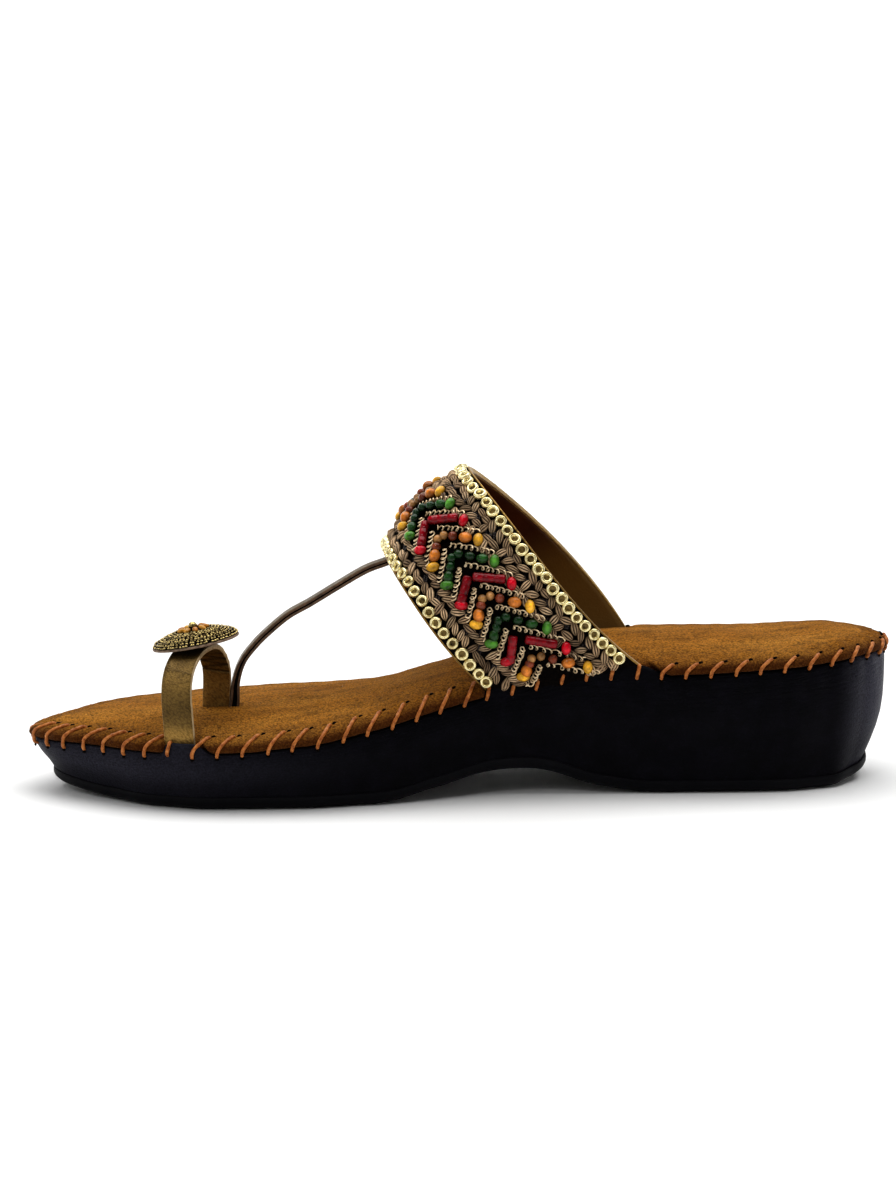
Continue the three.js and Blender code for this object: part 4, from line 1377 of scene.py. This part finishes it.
# Toe ornament: a felt-rimmed oval button with rows of gold seed beads, amber stones and a bead on top
ORNAMENT_STRETCH = np.array([1.05, ORNAMENT_OVAL, 1])
ORNAMENT_SHIFT = np.array([-0.6, 0, 0.25])
ORNAMENT_SAG = (0.0022, 0.002)
SEAT_SLOPE = math.tan(math.radians(8))
seat = loop_point(np.array([0.5]))[0]
ornament_lift = LOOP_THICKNESS / 2 + CLEARANCE + SEAT_SLOPE * LOOP_WIDTH / 2


def ornament_place(points):
    p = np.asarray(points, float) * ORNAMENT_STRETCH
    flat = p[:, 2] - ORNAMENT_SAG[0] * p[:, 0] ** 2 - ORNAMENT_SAG[1] * p[:, 1] ** 2
    c = math.cos(ORNAMENT_TILT)
    s = math.sin(ORNAMENT_TILT)
    tilted = np.stack([p[:, 0] * c - flat * s, p[:, 1], p[:, 0] * s + flat * c + ornament_lift], -1)
    return tilted + seat + ORNAMENT_SHIFT


BACK_PROFILE = ((0.05, -0.1), (6, -0.1), (11.6, 0.0), (12.0, 0.35), (11.6, 0.7), (10.4, 1.2), (9.0, 1.6),
                (7.6, 2.2), (5.0, 3.1), (2.5, 3.5), (0.05, 3.6))
points, faces = lathe(BACK_PROFILE, 48)
backing = mesh_object("ornament_backing", ornament_place(points), faces, [ground])
put(backing, "gold_beads", "toe_ornament")

RIM_RADIUS = 11.9
RIM_THREAD = 0.4
RIM_HEIGHT = 0.15
points, faces = torus(RIM_RADIUS, RIM_THREAD, 72, 8)
rim = mesh_object("ornament_rim", ornament_place(points + UP * RIM_HEIGHT), faces, [felt])
put(rim, "gold_beads", "toe_ornament")

# Rows of seed beads: radius, height, count
SEED_ROWS = ((11.9, 0.85, 74), (11.35, 1.5, 70), (10.5, 1.85, 65), (9.65, 2.15, 60), (8.8, 2.45, 54),
             (7.95, 2.75, 49), (7.1, 3.0, 44), (6.25, 3.2, 38), (5.4, 3.4, 33))
SEED_SIZE = np.array([0.5, 0.29, 0.36])
ROW_SHADES = (1.1, 0.95, 0.5)
TOP_BEAD_SIZE = np.array([1.3, 1.3, 1.2])
TOP_BEAD_HEIGHT = 4.6
seed_sphere = ellipsoid(1, 1, 1, 10, 7)
# Painted shade: each seed darker towards its foot; every third row is darker still
seed_painted_shade = 0.04 + 0.96 * smooth(-0.35, 0.55, seed_sphere[0][:, 2])
parts = []
row_shades = []
for row, (radius, height, count) in enumerate(SEED_ROWS):
    row_shades += [ROW_SHADES[row % len(ROW_SHADES)]] * count
    a = np.linspace(0, 2 * math.pi, count, endpoint=False) + rng.normal(0, 0.02, count) + radius
    outward = np.stack([np.cos(a), np.sin(a), np.zeros(count)], -1)
    place = outward * radius + UP * height + rng.normal(0, 0.045, (count, 3))
    scale = SEED_SIZE * rng.uniform(0.85, 1.12, (count, 3))
    around = np.cross(UP, outward)
    upright = np.broadcast_to(UP, around.shape)
    parts.append(copies(seed_sphere, ornament_place(place), around, outward, upright, scale))
eye = np.eye(3)
top_place = ornament_place(UP[None] * TOP_BEAD_HEIGHT)
parts.append(copies(seed_sphere, top_place, eye[:1], eye[1:2], eye[2:], TOP_BEAD_SIZE))
row_shades.append(1.0)
# Each seed's painted shade times its row's brightness
shades = np.tile(seed_painted_shade, len(row_shades)) * repeat_values(row_shades, seed_sphere)
seed_painted_light = {"age": np.repeat(shades[:, None], 3, axis=1)}
put(mesh_object("ornament_seeds", *join_parts(parts), [gold_old], None, seed_painted_light), "gold_beads", "toe_ornament")

STONES = 9
STONE_RADIUS = 3.4
STONE_HEIGHT = 3.85
STONE_LEAN = -0.25
AMBER = np.array([(0.5, 0.24, 0.03), (0.38, 0.15, 0.016), (0.58, 0.33, 0.06)])
a = np.linspace(0, 2 * math.pi, STONES, endpoint=False)
stone_base = ellipsoid(1.4, 0.9, 0.75, 12, 8)
place = np.stack([STONE_RADIUS * np.cos(a), STONE_RADIUS * np.sin(a), np.full(STONES, STONE_HEIGHT)], -1)
out = unit(np.stack([np.cos(a), np.sin(a) * ORNAMENT_OVAL, np.full(STONES, STONE_LEAN)], -1))
side_axis = unit(np.cross(UP, out))
stone_shape = copies(stone_base, ornament_place(place), out, side_axis, np.cross(out, side_axis))
tints = {"tint": repeat_values(AMBER[rng.integers(0, len(AMBER), STONES)], stone_base)}
put(mesh_object("ornament_stones", *stone_shape, [glass_beads], None, tints), "gold_beads", "toe_ornament")

# Floor that rises into a pale wall far out, and glows towards the back as a lit studio sweep does
floor_look = Look("pale_floor", (0.9, 0.9, 0.895), 0.7, specular=0.1)
floor_stops = ((0.3, (0.89, 0.89, 0.885)), (0.7, (0.91, 0.91, 0.905)))
floor_look.link(floor_look.ramp(floor_look.noise(300, 2), floor_stops), "Base Color")
floor_look.link(floor_look.attribute("glow"), "Emission Strength")
floor_look.set("Emission Color", (1, 1, 0.995, 1))
FLOOR_PROFILE = ((150, 0), (300, 0), (450, 0), (600, 0), (900, 0), (1300, 0), (2000, 0), (2600, 0),
                 (3000, 60), (3350, 240), (3600, 520), (3750, 900), (3800, 1400))
FLOOR_SIDES = 96
floor_points, floor_faces = lathe(FLOOR_PROFILE, FLOOR_SIDES)
floor_points = np.vstack([floor_points, [[0, 0, 0]]])
floor_faces = [f[::-1] for f in floor_faces]
floor_faces += [(len(floor_points) - 1, i, (i + 1) % FLOOR_SIDES) for i in range(FLOOR_SIDES)]
floor_reach = np.linalg.norm(floor_points[:, :2], axis=1)
far_side = 0.12 + 0.88 * smooth(-500, 600, floor_points[:, 1])
floor_glow = 0.85 * smooth(250, 1500, floor_reach) * far_side
floor = mesh_object("floor", floor_points, floor_faces, [floor_look.material], None, {"glow": floor_glow})


# Lights, in metres and watts
def area_light(name, place, aim, size, power):
    data = bpy.data.lights.new(name, "AREA")
    data.shape = "RECTANGLE"
    data.size, data.size_y = size
    data.energy = power
    lamp = bpy.data.objects.new(name, data)
    lamp.location = Vector(place)
    lamp.rotation_euler = (Vector(aim) - Vector(place)).to_track_quat("-Z", "Y").to_euler()
    bpy.context.scene.collection.objects.link(lamp)


area_light("overhead", (0.08, 0.22, 1.2), (0, 0, 0), (2.0, 1.4), 23.5)
area_light("front_key", (-1.1, -0.75, 0.95), (0, 0, 0.05), (1.0, 0.6), 2.2)
area_light("sparkle", (-0.45, -0.95, 1.0), (0, 0, 0.06), (0.12, 0.12), 1.4)

world = bpy.data.worlds.new("studio")
world.use_nodes = True
world.node_tree.nodes["Background"].inputs["Color"].default_value = (1, 1, 1, 1)
world.node_tree.nodes["Background"].inputs["Strength"].default_value = 0.1
bpy.context.scene.world = world
bpy.context.scene.view_settings.view_transform = "Standard"
bpy.context.scene.view_settings.look = "Medium High Contrast"

camera_data = bpy.data.cameras.new("camera")
camera_data.sensor_fit = "HORIZONTAL"
camera_data.sensor_width = 36
camera_data.lens = CAMERA_LENS
camera_data.clip_end = 100
camera = bpy.data.objects.new("camera", camera_data)
back = Vector((
    math.sin(CAMERA_AZIMUTH) * math.cos(CAMERA_ELEVATION),
    -math.cos(CAMERA_AZIMUTH) * math.cos(CAMERA_ELEVATION),
    math.sin(CAMERA_ELEVATION)))
camera.location = (Vector(CAMERA_TARGET) + back * CAMERA_DISTANCE) * MM
camera.rotation_euler = back.to_track_quat("Z", "Y").to_euler()
bpy.context.scene.collection.objects.link(camera)
bpy.context.scene.camera = camera

bpy.context.view_layer.update()
